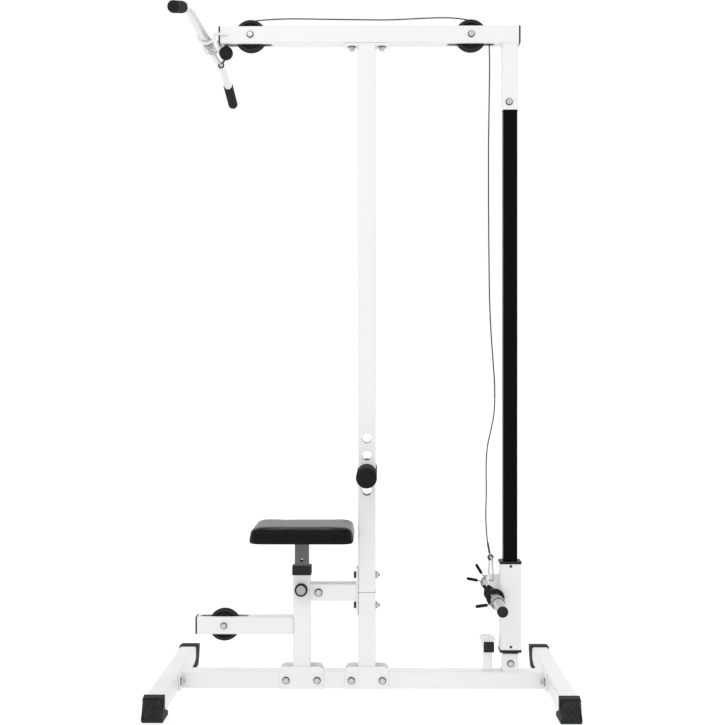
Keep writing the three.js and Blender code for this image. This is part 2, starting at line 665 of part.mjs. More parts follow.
function barPath() {
  const points = [];
  const stops = [barReach - 5, bar.straight + 2 * bar.bend, bar.straight + 1.4 * bar.bend,
    bar.straight + bar.bend, bar.straight + bar.bend / 4,
    bar.straight - bar.bend / 4, bar.straight - bar.bend, bar.straight / 3];
  const eased = (y) => {
    const near = (Math.abs(y) - bar.straight) / bar.bend;
    if (Math.abs(near) >= 1) return barPoint(y);
    return (-Math.tan(slope) * bar.bend * (near + 1) ** 2) / 4;
  };
  for (const y of [...stops.map((stop) => -stop), ...stops.reverse()]) points.push([0, y, eased(y)]);
  return smoothPath(points);
}

const tabPlate = new THREE.Shape();
tabPlate.absarc(0, 0, barTab.width / 2, 0, Math.PI);
tabPlate.lineTo(-barTab.width / 2, -barTab.reach);
tabPlate.absarc(0, -barTab.reach, barTab.width / 2, Math.PI, 2 * Math.PI);
tabPlate.closePath();
add('bar_hanger', cut(
  join(sidePlate(tabPlate, barTab.thickness, 0),
    rod('y', barTab.collar, barTab.collarLength, 0, 0, 0, facets.rod)),
  rod('y', bar.diameter + 2 * slip, 2 * barTab.collarLength, 0, 0, 0, facets.rod),
  rod('y', barTab.hole, 4 * barTab.thickness, 0, 0, -barTab.reach, facets.rod),
).rotateY(lean), finish.zinc, barGroup);

const barSection = circleOutline(bar.diameter / 2, 12);
barSection.holes.push(circleOutline(bar.diameter / 2 - bar.wall, 12));
add('lat_bar', new THREE.ExtrudeGeometry(barSection, { steps: 30, extrudePath: barPath() }),
  finish.zinc, barGroup);

for (const [name, side] of [['near', -1], ['far', 1]]) {
  const r = bar.diameter / 2 + gap;
  const tip = (barReach - 5 - bar.straight) / Math.cos(slope) + gap;
  const sleeveShape = turned([
    [r, tip - grip.length], [r + grip.wall, tip - grip.length], [r + grip.wall, tip + grip.end - 3],
    [r + grip.wall - 3, tip + grip.end], [0, tip + grip.end], [0, tip], [r, tip],
  ]);
  if (side < 0) sleeveShape.rotateX(Math.PI);
  sleeveShape.rotateX(-Math.PI / 2).rotateX(-side * slope).translate(0, side * bar.straight, 0);
  add(`grip_${name}`, sleeveShape, finish.blackRubber, barGroup);

  const under = bar.z - bar.diameter / 2 - rest.rod / 2 - gap - 0.2;
  const wall = side * (half + rest.rod / 2 + rest.clear);
  const out = side * rest.offset;
  const restPath = smoothPath([
    [-rest.root, wall, beamZ], [beamFrontX + 2, wall, beamZ], [beamFrontX - 10, wall + side * 9, beamZ - 3],
    [bar.x + 27, out, under + 12], [bar.x + 14, out, under + 2], [bar.x, out, under],
    [bar.x - 14, out, under + 4], [bar.x - 20, out, under + rest.tip - 8], [bar.x - 23, out, under + rest.tip],
  ]);
  add(`bar_rest_${name}`, bentRod(restPath, rest.rod, 16), finish.whitePaint);
}

// ---------------------------------------------------------------- seat

const seatHoles = [];
for (let i = -seatHole.below; i <= seatHole.above; i += 1) {
  seatHoles.push(rod('y', seatHole.diameter, 2 * seatTube.side, seatPostX, 0,
    seatPinZ + i * seatHole.pitch));
}
const seatTubeLength = seatTube.top - seatTube.bottom;
add('seat_tube', cut(join(
  squareTube(seatTube, seatTubeLength, 'z', seatPostX, 0, seatTube.bottom + seatTubeLength / 2),
  block(seatPlate.length, seatPlate.width, seatPlate.thickness,
    seatPostX, 0, seatTube.top - gap + seatPlate.thickness / 2),
), ...seatHoles), finish.greySteel);

const collarBottom = seatPostTopZ + gap;
add('seat_collar', cut(join(
  solidBar(seatCollar.side, 6, seatCollar.height, 'z', seatPostX, 0, collarBottom + seatCollar.height / 2),
  solidBar(bore - 2 * gap, 3, seatCollar.depth, 'z', seatPostX, 0, collarBottom + 1 - seatCollar.depth / 2),
), solidBar(seatTube.side + slip, seatTube.corner, 4 * seatCollar.depth, 'z', seatPostX, 0, collarBottom),
rod('y', knob.pin + 6, 2 * frameTube.side, seatPostX, 0, seatPinZ)), finish.blackPlastic);

const padBottom = seatTube.top + seatPlate.thickness + gap;
const padShape = roundedRectangle(seatPad.length - 2 * seatPad.edge, seatPad.width - 2 * seatPad.edge,
  seatPad.corner - seatPad.edge);
const padSolid = new THREE.ExtrudeGeometry(padShape, {
  depth: seatPad.thickness - 2 * seatPad.edge, bevelEnabled: true, bevelSize: seatPad.edge,
  bevelThickness: seatPad.edge, bevelSegments: 2, curveSegments: 3,
});
add('seat_pad', padSolid.translate(seatPadX, 0, padBottom + seatPad.edge), finish.vinyl);

const pinTip = -seatTube.side / 2 - 0.6;
const knobFace = -half - knob.bossLength + 1 - gap;
const pinLength = pinTip - knobFace + 5;
add('seat_knob', join(
  rod('y', knob.pin, pinLength, seatPostX, pinTip - pinLength / 2, seatPinZ),
  along(turned([
    [0, 0], [knob.diameter / 2 - 2, 0], [knob.diameter / 2, 3], [knob.diameter / 2, knob.length - 4],
    [knob.diameter / 2 - 4, knob.length], [0, knob.length],
  ]).rotateX(Math.PI), 'y', seatPostX, knobFace, seatPinZ),
), finish.blackPlastic);

// ---------------------------------------------------------------- thigh rollers

const rollerTo = roller.inner + roller.length;
add('roller_bar', rod('y', roller.bar, 2 * (rollerTo - 2), uprightX, 0, rollerZ, facets.rod),
  finish.zinc);
for (const [name, side] of [['near', -1], ['far', 1]]) {
  const r = roller.bar / 2 + gap;
  const R = roller.diameter / 2;
  const foam = turned([
    [r, roller.inner], [R - roller.edge, roller.inner], [R - 2, roller.inner + 2.5],
    [R, roller.inner + roller.edge], [R, rollerTo - roller.edge], [R - 2, rollerTo - 2.5],
    [R - roller.edge, rollerTo], [0, rollerTo], [0, rollerTo - 2 + gap], [r, rollerTo - 2 + gap],
  ]);
  if (side < 0) foam.rotateX(Math.PI);
  add(`roller_${name}`, along(foam, 'y', uprightX, 0, rollerZ), finish.foam);
}

export default tower;
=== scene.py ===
import math

import bmesh
import bpy
from mathutils import Matrix, Vector


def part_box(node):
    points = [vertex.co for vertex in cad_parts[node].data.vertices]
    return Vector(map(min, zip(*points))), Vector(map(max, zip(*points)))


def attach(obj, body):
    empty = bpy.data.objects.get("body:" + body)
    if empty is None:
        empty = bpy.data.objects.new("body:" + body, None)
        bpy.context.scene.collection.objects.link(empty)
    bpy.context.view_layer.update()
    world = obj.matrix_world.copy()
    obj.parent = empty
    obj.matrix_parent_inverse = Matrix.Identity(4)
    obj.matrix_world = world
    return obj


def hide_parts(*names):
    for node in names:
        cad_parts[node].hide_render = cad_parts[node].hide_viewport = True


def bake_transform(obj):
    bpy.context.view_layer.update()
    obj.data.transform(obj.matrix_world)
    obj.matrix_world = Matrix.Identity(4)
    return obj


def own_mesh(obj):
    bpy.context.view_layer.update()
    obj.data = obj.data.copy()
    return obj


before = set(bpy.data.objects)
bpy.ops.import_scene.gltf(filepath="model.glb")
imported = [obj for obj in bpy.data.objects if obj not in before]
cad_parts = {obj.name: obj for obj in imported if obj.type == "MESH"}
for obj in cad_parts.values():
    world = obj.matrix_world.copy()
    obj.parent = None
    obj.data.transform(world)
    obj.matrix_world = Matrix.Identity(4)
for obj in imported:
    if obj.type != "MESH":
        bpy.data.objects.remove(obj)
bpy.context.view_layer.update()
scene = bpy.context.scene

# ================================================================ studio
# The tower stands on a plain pale floor in even white light, with a soft key above its front
# and a weaker one behind it. The camera is level, at mid height, and very nearly square on.

lens = bpy.data.cameras.new("camera")
lens.lens, lens.sensor_width = 62.9, 36
lens.shift_x, lens.shift_y = -0.0021, 0.0124
camera = bpy.data.objects.new("camera", lens)
aside = math.radians(0.6)
camera.location = Matrix.Rotation(aside, 3, "Z") @ Vector((0.0035, -3.65, 0.9225))
camera.rotation_euler = (math.radians(90), 0, aside)
scene.collection.objects.link(camera)
scene.camera = camera
scene.view_settings.view_transform = "Standard"

world = bpy.data.worlds.new("white_room")
world.use_nodes = True
world.node_tree.nodes["Background"].inputs["Color"].default_value = (1, 1, 1, 1)
world.node_tree.nodes["Background"].inputs["Strength"].default_value = 1.0
scene.world = world


def soft_light(name, place, aim, size, power):
    """A square lamp at place that looks at aim."""
    lamp = bpy.data.lights.new(name, "AREA")
    lamp.size, lamp.energy = size, power
    holder = bpy.data.objects.new(name, lamp)
    holder.location = place
    holder.rotation_euler = (Vector(aim) - Vector(place)).to_track_quat("-Z", "Y").to_euler()
    scene.collection.objects.link(holder)


soft_light("key", (-1.4, -3.4, 3.4), (0, 0, 1.1), 2.2, 22)
soft_light("back", (1.8, 3.2, 3.0), (0, 0, 1.0), 2.4, 18)


class Signal:
    """One value in a finish's nodes. Sums and products add Math nodes; make adds any other node."""

    def __init__(self, tree, socket=None):
        self.tree, self.socket = tree, socket

    def make(self, kind, inputs=None, settings=None, output=0):
        node = self.tree.nodes.new("ShaderNode" + kind)
        for name, value in (settings or {}).items():
            setattr(node, name, value)
        for name, value in (inputs or {}).items():
            if isinstance(value, Signal):
                self.tree.links.new(value.socket, node.inputs[name])
            else:
                is_colour = node.inputs[name].type == "RGBA"
                node.inputs[name].default_value = (*value, 1) if is_colour else value
        return None if output is None else Signal(self.tree, node.outputs[output])

    def __add__(self, other):
        return self.make("Math", {0: self, 1: other}, {"operation": "ADD"})

    def __mul__(self, other):
        return self.make("Math", {0: self, 1: other}, {"operation": "MULTIPLY"})

    __radd__, __rmul__ = __add__, __mul__


def start_finish(name):
    """A new material, and the place on the object that its patterns are drawn from, in metres."""
    material = bpy.data.materials.new(name)
    material.use_nodes = True
    material.node_tree.nodes.clear()
    return material, Signal(material.node_tree).make("TexCoord", output="Object")


def speckle(place, per_metre, detail=2.0):
    """Cloudy variation from 0 to 1, so many clouds to the metre."""
    return place.make("TexNoise", {"Vector": place, "Scale": per_metre, "Detail": detail})


def between(share, first, second):
    """A colour from first to second by share."""
    return share.make("Mix", {0: share, 6: first, 7: second}, {"data_type": "RGBA"}, 2)


def end_finish(place, colour, roughness, height, depth, **fixed):
    """Joins the shader: height is the relief from 0 to 1, and depth its real depth in metres."""
    relief = place.make("Bump", {"Height": height, "Distance": depth, "Strength": 1.0})
    inputs = {"Base Color": colour, "Roughness": roughness, "Normal": relief}
    inputs.update({name.replace("_", " "): value for name, value in fixed.items()})
    shader = place.make("BsdfPrincipled", inputs)
    place.make("OutputMaterial", {"Surface": shader}, output=None)


floor_finish, spot = start_finish("pale_floor")
end_finish(spot, between(speckle(spot, 3), (0.22, 0.22, 0.22), (0.26, 0.26, 0.26)),
           0.7 + 0.1 * speckle(spot, 40), speckle(spot, 300), 0.0001, Emission_Color=(1, 1, 1),
           Emission_Strength=0.8)
floor_mesh = bmesh.new()
bmesh.ops.create_grid(floor_mesh, x_segments=1, y_segments=1, size=40)
floor_data = bpy.data.meshes.new("floor")
floor_mesh.to_mesh(floor_data)
floor_data.materials.append(floor_finish)
floor = bpy.data.objects.new("floor", floor_data)
floor.location.z = -0.0005
scene.collection.objects.link(floor)

# ================================================================ cable
# One steel rope in a smooth black coat, 3.5 mm thick. It lies slack over both top pulleys,
# drops in a loose wave to the weight carriage, and ends in a crimped loop at each end.

CABLE = 0.0035
TOP_RUN = [
    (-0.394, 0, 1.876), (-0.3925, 0, 1.886), (-0.387, 0, 1.896), (-0.376, 0, 1.906),
    (-0.361, 0, 1.9155), (-0.343, 0, 1.926), (-0.322, 0, 1.9315), (-0.282, 0, 1.936),
    (-0.216, 0, 1.939), (-0.095, 0, 1.9375), (0.075, 0, 1.9355), (0.159, 0, 1.939),
    (0.218, 0, 1.941), (0.262, 0, 1.940), (0.299, 0, 1.935), (0.330, 0, 1.925),
    (0.349, 0, 1.911), (0.359, 0, 1.894), (0.363, 0, 1.878),
]
DROP = [
    (0.3635, 0, 1.876), (0.365, 0, 1.809), (0.364, 0, 1.722), (0.362, 0, 1.578),
    (0.362, 0, 1.405), (0.3635, 0, 1.221), (0.365, 0, 1.129), (0.369, 0, 1.036),
    (0.3755, 0, 0.944), (0.3795, 0, 0.876), (0.378, 0, 0.806), (0.370, 0, 0.760),
    (0.360, 0, 0.714), (0.3555, 0, 0.667), (0.3555, 0, 0.575), (0.354, 0, 0.506),
    (0.358, 0, 0.440), (0.364, 0, 0.404), (0.3655, 0, 0.3985),
]
FRONT_FALL = [(-0.394, 0, 1.8755), (-0.3943, 0, 1.869), (-0.3945, 0, 1.858)]


def smooth_path(points, steps):
    """A smooth curve through the points, with so many steps from each point to the next."""
    known = [Vector(p) for p in points]
    known = [2 * known[0] - known[1], *known, 2 * known[-1] - known[-2]]
    path = []
    for a, b, c, d in zip(known, known[1:], known[2:], known[3:]):
        before, here, after = ((q - p).length ** 0.5 for p, q in ((a, b), (b, c), (c, d)))
        leave = here * ((b - a) / before - (c - a) / (before + here) + (c - b) / here)
        reach = here * ((c - b) / here - (d - b) / (here + after) + (d - c) / after)
        for i in range(steps):
            t = i / steps
            bend = (3 * (c - b) - 2 * leave - reach) * t**2 + (2 * (b - c) + leave + reach) * t**3
            path.append(b + leave * t + bend)
    return path + [known[-2]]


def bridge(mesh, low, high):
    """Faces between two rings, either of which may be a single point."""
    if len(low) == 1 or len(high) == 1:
        tip, rim = (low[0], high) if len(low) == 1 else (high[0], low)
        for i in range(len(rim)):
            mesh.faces.new((tip, rim[i - 1], rim[i]))
        return
    for i in range(len(low)):
        mesh.faces.new((low[i - 1], low[i], high[i], high[i - 1]))


def circle(sides):
    """Cosine and sine of each corner's angle, round a circle."""
    angles = [2 * math.pi * k / sides for k in range(sides)]
    return [(math.cos(a), math.sin(a)) for a in angles]


def sweep(mesh, path, radius, sides=12, closed=False):
    """Carries a round section along the path. The radius is a number or a function of the share done."""
    count = len(path)
    rings, normal = [], None
    for i, point in enumerate(path):
        ahead = path[(i + 1) % count] if closed else path[min(i + 1, count - 1)]
        behind = path[i - 1] if closed or i else path[0]
        direction = (ahead - behind).normalized()
        normal = normal or direction.orthogonal()
        normal = (normal - direction * normal.dot(direction)).normalized()
        across = direction.cross(normal)
        r = radius(i / (count - 1)) if callable(radius) else radius
        rings.append([mesh.verts.new(point + r * (c * normal + s * across))
                      for c, s in circle(sides)])
    for low, high in zip(rings, rings[1:]):
        bridge(mesh, low, high)
    if closed:
        bridge(mesh, rings[-1], rings[0])
    else:
        mesh.faces.new(rings[0])
        mesh.faces.new(rings[-1])


def facing(direction, centre):
    """Turns what was made along Z to run along direction, from centre."""
    turned = Vector((0, 0, 1)).rotation_difference(Vector(direction))
    return Matrix.Translation(centre) @ turned.to_matrix().to_4x4()


def turn(mesh, profile, place, sides=36):
    """Spins radius and height pairs round Z, then puts the shape in place. A profile that doesn't
    start and end on the axis is closed on itself, as a ring."""
    rings = []
    for radius, height in profile:
        if radius < 1e-7:
            rings.append([mesh.verts.new(place @ Vector((0, 0, height)))])
            continue
        rings.append([mesh.verts.new(place @ Vector((radius * c, radius * s, height)))
                      for c, s in circle(sides)])
    if profile[0][0] > 1e-7:
        rings.append(rings[0])
    for low, high in zip(rings, rings[1:]):
        bridge(mesh, low, high)


def piece(mesh, name, finish, body=None, rounding=0.0, crease=35, stands_for=()):
    """Turns the mesh into a named piece with its finish, its body and the CAD nodes it stands for."""
    bmesh.ops.recalc_face_normals(mesh, faces=mesh.faces)
    data = bpy.data.meshes.new(name)
    mesh.to_mesh(data)
    mesh.free()
    for each in finish if isinstance(finish, tuple) else (finish,):
        data.materials.append(each)
    data.shade_smooth()
    data.set_sharp_from_angle(angle=math.radians(crease))
    made = bpy.data.objects.new(name, data)
    scene.collection.objects.link(made)
    if rounding:
        round_edges(made, rounding)
    if body:
        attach(made, body)
    if stands_for:
        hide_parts(*stands_for)
    return made


def round_edges(made, width):
    """A rolled edge, so many metres wide, on every corner sharper than 28 degrees."""
    edges = made.modifiers.new("rolled_edges", "BEVEL")
    edges.width, edges.segments = width, 3
    edges.limit_method, edges.angle_limit = "ANGLE", math.radians(28)
    edges.use_clamp_overlap = True
    edges.harden_normals = True


def path_length(path):
    return sum((b - a).length for a, b in zip(path, path[1:]))


def cable_coat():
    """Extruded black coat, a little paler where it has rubbed, over the ridges of the strands."""
    material, spot = start_finish("cable_coat")
    strands = spot.make("TexWave", {"Vector": spot, "Scale": 120.0, "Distortion": 1.0},
                        {"bands_direction": "DIAGONAL"})
    end_finish(spot, between(speckle(spot, 60), (0.008, 0.008, 0.008), (0.02, 0.02, 0.021)),
               0.34 + 0.2 * speckle(spot, 400), strands, 0.00008, Specular_IOR_Level=0.3)
    return material


def crimp_metal():
    """Swaged aluminium sleeve, dull, with die marks across it."""
    material, spot = start_finish("crimp_metal")
    end_finish(spot, between(speckle(spot, 300), (0.05, 0.05, 0.052), (0.09, 0.09, 0.092)),
               0.4 + 0.2 * speckle(spot, 900), speckle(spot, 700), 0.00006, Metallic=0.6)
    return material


coat, crimp = cable_coat(), crimp_metal()


def loop_and_sleeve(name, centre, radius, wire, sleeve_from, sleeve_to, body, node):
    """The rope's end: a thimble loop and the crimped sleeve that closes it."""
    mesh = bmesh.new()
    ring = [Vector((centre[0] + radius * c, 0, centre[2] + radius * s)) for c, s in circle(40)]
    sweep(mesh, ring, wire / 2, 14, closed=True)
    loop = piece(mesh, f"{name}_loop", coat, body, stands_for=[node])
    mesh = bmesh.new()
    start, end = Vector(sleeve_from), Vector(sleeve_to)
    steps = [start.lerp(end, k / 24) for k in range(25)]
    sweep(mesh, steps, lambda share: 0.0034 - 0.0005 * abs(math.sin(4 * math.pi * share)), 20)
    sleeve = piece(mesh, f"{name}_sleeve", crimp, body)
    return [loop, sleeve]


rear_end = loop_and_sleeve("rear_cable", (0.3675, 0, 0.388), 0.0069, 0.0044,
                           (0.3594, 0, 0.430), (0.3652, 0, 0.3985), "weight_carriage", "cable_eye_rear")
front_end = loop_and_sleeve("front_cable", (-0.4085, 0, 1.8055), 0.007, 0.0044,
                            (-0.3952, 0, 1.826), (-0.4048, 0, 1.8118), "pull_end", "cable_eye_front")

mesh = bmesh.new()
fall_path = smooth_path(FRONT_FALL, 20)
sweep(mesh, fall_path, CABLE / 2, 14)
front_fall = piece(mesh, "cable_front_fall", coat, stands_for=["cable_front"])
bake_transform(front_fall)

# The stopper is a rubber ball on the rope, with a moulding line round it and a bush at its top end.
STOPPER_R = 0.02025


def rubber(name, worn):
    """Black moulded rubber, matt, with a fine sandy skin, paler where it has worn."""
    material, spot = start_finish(name)
    end_finish(spot, between(speckle(spot, 25), (0.006, 0.006, 0.006), (0.012 + worn,) * 3),
               0.62 + 0.25 * speckle(spot, 200), speckle(spot, 1400, 4.0), 0.00012,
               Specular_IOR_Level=0.25)
    return material


black_rubber = rubber("black_rubber", 0.0)
mesh = bmesh.new()
ball_profile = []
for k in range(49):
    angle = math.pi * k / 48
    seam = 0.0004 * math.exp(-((angle - math.pi / 2) / 0.035) ** 2)
    ball_profile.append(((STOPPER_R - 0.0004 + seam) * math.sin(angle), -STOPPER_R * math.cos(angle)))
ball_profile[0], ball_profile[-1] = (0, -STOPPER_R), (0, STOPPER_R)
ball_centre = facing((0, 0, 1), (-0.3945, 0, 1.8405))
turn(mesh, ball_profile, ball_centre, 48)
turn(mesh, [(0.0019, 0.0185), (0.0045, 0.0185), (0.0042, 0.0212), (0.0019, 0.0212)], ball_centre, 24)
ball = piece(mesh, "stopper_bead", black_rubber, "pull_end",
             stands_for=["stopper_ball"])

mesh = bmesh.new()
top_path = smooth_path(TOP_RUN, 8)
sweep(mesh, top_path, CABLE / 2, 14)
top_cable = piece(mesh, "cable_top_run", coat, "frame", stands_for=["cable_top"])
path_length(top_path)

mesh = bmesh.new()
drop_path = smooth_path(DROP, 10)
sweep(mesh, drop_path, CABLE / 2, 14)
drop_cable = piece(mesh, "cable_rear_drop", coat, "frame", stands_for=["cable_drop"])
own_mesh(drop_cable)
path_length(drop_path)

# ================================================================ base rail and feet
# Square steel tube, 50 by 50 by 2, powder coated white. The rail is bolted to the two cross
# feet through welded end plates, and moulded rubber caps close the feet and carry the tower.


def white_paint():
    """Powder coat: satin white, faintly uneven in tone, with a very fine orange peel."""
    material, spot = start_finish("white_paint")
    tone = between(speckle(spot, 6, 3.0), (0.775, 0.775, 0.77), (0.815, 0.815, 0.81))
    end_finish(spot, tone, 0.30 + 0.12 * speckle(spot, 90), speckle(spot, 650, 3.0), 0.00003,
               Coat_Weight=0.15, Coat_Roughness=0.2)
    return material


def zinc_plate():
    """Bright zinc on fasteners: cool grey metal with a mottled, slightly drawn surface."""
    material, spot = start_finish("zinc_plate")
    mottle = speckle(spot, 220, 4.0)
    end_finish(spot, between(mottle, (0.48, 0.48, 0.485), (0.68, 0.68, 0.69)), 0.24 + 0.2 * mottle,
               speckle(spot, 1500, 3.0), 0.00003, Metallic=1.0)
    return material


def painted_shade_steel():
    """Washers and bolt flanks: dull dark steel with an uneven, oily tone, kept darker than the metal
    would be as painted shade: the dark outline round each bolt head and the dark ring of the post seam.
    """
    material, spot = start_finish("painted_shade_steel")
    tone = speckle(spot, 240, 3.0)
    end_finish(spot, between(tone, (0.05, 0.05, 0.052), (0.12, 0.12, 0.123)), 0.45 + 0.2 * tone,
               speckle(spot, 1200, 3.0), 0.00004, Metallic=0.8)
    return material


# dull is painted shade: dark steel for the washers' outline round each bolt head and for the post seam.
white, zinc, dull = white_paint(), zinc_plate(), painted_shade_steel()


def dress(nodes, finish, rounding=0.0):
    """Gives CAD nodes their finish and, where they are cut from tube, its rolled edges."""
    for name in nodes:
        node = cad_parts[name]
        node.data.materials.clear()
        node.data.materials.append(finish)
        weld = node.modifiers.new("one_skin", "WELD")
        weld.merge_threshold = 0.00002
        if rounding:
            round_edges(node, rounding)


def centre_of(node):
    """The centre of a CAD node's box."""
    low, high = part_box(node)
    return (low + high) / 2


def fastener(mesh, centre, direction, kind="head", across=0.017, height=0.0064):
    """A hex head or nut, a dome nut, or a low round head, on a washer that stands on centre."""
    place = facing(direction, centre)
    corner_r = across / math.sqrt(3)
    washer = 0.0013
    done = len(mesh.faces)
    turn(mesh, [(0, 0), (across * 0.68, 0), (across * 0.68, washer - 0.0003), (across * 0.65, washer),
                (0, washer)], place, 32)
    # The washer takes the piece's second finish; where that is dark steel, it is painted shade, the dark
    # outline round the head.
    mesh.faces.ensure_lookup_table()
    for face in mesh.faces[done:]:
        face.material_index = 1
    if kind == "round":
        turn(mesh, [(0, 0.0012), (across * 0.56, 0.0012), (across * 0.54, 0.0022),
                    (across * 0.4, 0.0032), (across * 0.2, 0.0037), (0, 0.0038)], place, 32)
        return
    high = washer + height
    turn(mesh, [(0, washer), (corner_r * 0.9, washer), (corner_r, washer + 0.0006),
                (corner_r, high - 0.0009), (corner_r * 0.88, high), (0, high)], place, 6)
    if kind == "head":
        turn(mesh, [(0, high), (corner_r * 0.62, high), (corner_r * 0.6, high + 0.0003),
                    (0, high + 0.0003)], place, 24)
    if kind == "dome":
        dome = [(across * 0.42 * math.cos(a), high + across * 0.36 * math.sin(a))
                for a in (0, 0.4, 0.8, 1.2)]
        turn(mesh, [(0, high), *dome, (0, high + across * 0.36)], place, 24)
    if kind == "nut":
        threads = []
        for k in range(5):
            threads += [(0.0048, high + 0.001 * k), (0.0043, high + 0.001 * k + 0.0005)]
        turn(mesh, [(0, high), *threads, (0.0036, high + 0.005), (0, high + 0.005)], place, 20)


def cross_bolt(mesh, x, z, face, head=0.017, nut=0.017, height=0.0064):
    """A bolt through a tube along Y, with its head on the near face and its nut on the far one."""
    fastener(mesh, (x, -face, z), (0, -1, 0), "head", head, height)
    fastener(mesh, (x, face, z), (0, 1, 0), "nut", nut, height)


def weld_bead(mesh, points, size=0.0022):
    """A painted weld: a rippled bead laid along the points."""
    start = [Vector(p) for p in points]
    steps = []
    for a, b in zip(start, start[1:]):
        count = max(2, int((b - a).length / 0.0012))
        steps += [a.lerp(b, k / count) for k in range(count)]
    steps.append(start[-1])
    sweep(mesh, steps, lambda share: size * (0.86 + 0.14 * math.sin(share * len(steps) * 1.3)), 8)


TUBE = 0.05
HALF = TUBE / 2
RAIL_Z = 0.039
END_PLATE, SADDLE = 0.005, 0.0043
FOOT_BOLT, SADDLE_BOLT = 0.042, 0.0445
dress(["base_rail", "front_foot", "rear_foot"], white, 0.0012)
rail_low, rail_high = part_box("base_rail")
foot_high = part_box("rear_foot")[1]
seat_x, post_x = centre_of("seat_collar").x, centre_of("upright_insert").x

mesh = bmesh.new()
plate_x = rail_high.x - END_PLATE
for end in (-1, 1):
    for y in (-FOOT_BOLT, FOOT_BOLT):
        fastener(mesh, (end * foot_high.x, y, RAIL_Z), (end, 0, 0), "round")
        fastener(mesh, (end * plate_x, y, RAIL_Z), (-end, 0, 0), "nut")
for x in (seat_x - SADDLE_BOLT, seat_x + SADDLE_BOLT, post_x - SADDLE_BOLT, post_x + SADDLE_BOLT):
    cross_bolt(mesh, x, RAIL_Z, HALF + SADDLE, head=0.0155)
piece(mesh, "rail_bolts", (zinc, dull), "frame")

mesh = bmesh.new()
REACH = HALF - 0.004
for x in (-plate_x, plate_x):
    for y in (-HALF, HALF):
        weld_bead(mesh, [(x, y, RAIL_Z - REACH), (x, y, RAIL_Z + REACH)])
    weld_bead(mesh, [(x, -REACH, RAIL_Z + HALF), (x, REACH, RAIL_Z + HALF)])
guide_x = centre_of("guide_tube").x
SOCKET = 0.0225
socket_corners = [(guide_x + a * SOCKET, b * SOCKET, rail_low.z + TUBE + 0.0004)
                  for a, b in ((-1, -1), (1, -1), (1, 1), (-1, 1), (-1, -1))]
weld_bead(mesh, socket_corners)
piece(mesh, "rail_welds", white, "frame", crease=60)


def foot_cap(node, outward, out):
    """A rubber foot over the tube's end. Its ribbed face slopes, and leans outward over a flat sole."""
    low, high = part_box(node)
    centre, half_wide = (low.x + high.x) / 2, (high.x - low.x) / 2
    tip, heel = (high.y, low.y) if out > 0 else (low.y, high.y)
    toe, chamfer, deep, lean = 0.0065, 0.011, 0.045, 0.0085

    def spot_on(across, back, z):
        slant = lean * max(0.0, 1 - back / 0.014) * (0.25 - z / high.z)
        return Vector((centre + across * half_wide + outward * max(-0.004, slant), tip - out * back, z))

    outline = [(toe, high.z), (toe * 0.8, high.z * 0.8), (toe * 0.4, 0.03), (0, chamfer), (chamfer, 0),
               (abs(tip - heel), 0), (abs(tip - heel), 0.0117), (deep, RAIL_Z - 0.01), (deep, high.z)]
    mesh = bmesh.new()
    rings = [[mesh.verts.new(spot_on(side, back, z)) for back, z in outline] for side in (-1, 1)]
    bridge(mesh, *rings)
    for ring in rings:
        mesh.faces.new(ring)
    piece(mesh, f"{node}_rubber", black_rubber, "frame", rounding=0.0014,
          stands_for=[node])
    mesh = bmesh.new()
    for k in range(9):
        across = (k - 4) / 4.7
        steps = []
        for t in (0, 0.03, 0.25, 0.5, 0.75, 0.97, 1):
            z = high.z - 0.006 - t * (high.z - chamfer - 0.008)
            back = toe * (z - chamfer) / (high.z - chamfer)
            slid = max(-0.93, min(0.93, across + 0.7 * outward * (0.5 - t)))
            steps.append(spot_on(slid, back, z) + Vector((0, out * 0.0001, 0)))
        sweep(mesh, steps, 0.0014, 8)
    for k in range(5):
        z = chamfer + 0.008 + k * 0.0095
        for side in (-1, 1):
            sweep(mesh, [spot_on(side, back, z) for back in (0.016, 0.028, 0.040)], 0.0008, 8)
    piece(mesh, f"{node}_ribs", rib_rubber, "frame", crease=60)


rib_rubber = rubber("worn_rubber", 0.07)
for fore, outward in (("front", -1), ("rear", 1)):
    foot_cap(f"foot_cap_{fore}_near", outward, -1)
    foot_cap(f"foot_cap_{fore}_far", outward, 1)

# ================================================================ posts and seat arm
# The mast is two lengths of the same tube over an inner sleeve. It stands astride the rail on
# welded side plates, as the short seat post does, and a flanged arm bolts the two together.

ARM_Z = 0.290
ARM_BOLTS = (0.250, 0.337)
dress(["lower_upright", "upper_upright", "seat_post", "seat_arm"], white, 0.0012)


def grey_steel():
    """Satin grey steel with long, faint draw marks from its sliding fit."""
    material, spot = start_finish("grey_steel")
    stretched = spot.make("Mapping", {"Vector": spot, "Scale": (1.0, 1.0, 0.04)})
    marks = speckle(stretched, 700, 3.0)
    end_finish(spot, between(marks, (0.10, 0.10, 0.103), (0.17, 0.17, 0.175)), 0.36 + 0.14 * marks,
               marks, 0.00003, Metallic=0.75)
    return material


steel = grey_steel()
dress(["upright_insert"], steel)
# A thin dark ring round the post where its two tubes meet: partly the dark insert seen in the gap,
# partly painted shade in that gap.
mesh = bmesh.new()
just_out = HALF + 0.0001
seam = [Vector((post_x + a * just_out, b * just_out, ARM_Z)) for a, b in
        ((-1, -0.9), (-0.9, -1), (0.9, -1), (1, -0.9), (1, 0.9), (0.9, 1), (-0.9, 1), (-1, 0.9))]
sweep(mesh, seam, 0.0005, 8, closed=True)
piece(mesh, "post_seam_painted_shade", dull, "frame", crease=60)

FLANGE = 0.0053
mesh = bmesh.new()
for z in ARM_BOLTS:
    fastener(mesh, (post_x - HALF - FLANGE, 0, z), (-1, 0, 0), "head")
piece(mesh, "arm_bolt_heads", (dull, dull), "frame")
mesh = bmesh.new()
for z in ARM_BOLTS:
    fastener(mesh, (post_x + HALF, 0, z), (1, 0, 0), "nut")
STUB_BOLT = 0.0485
cross_bolt(mesh, seat_x + STUB_BOLT, ARM_Z, HALF)
piece(mesh, "post_bolts", (zinc, dull), "frame")

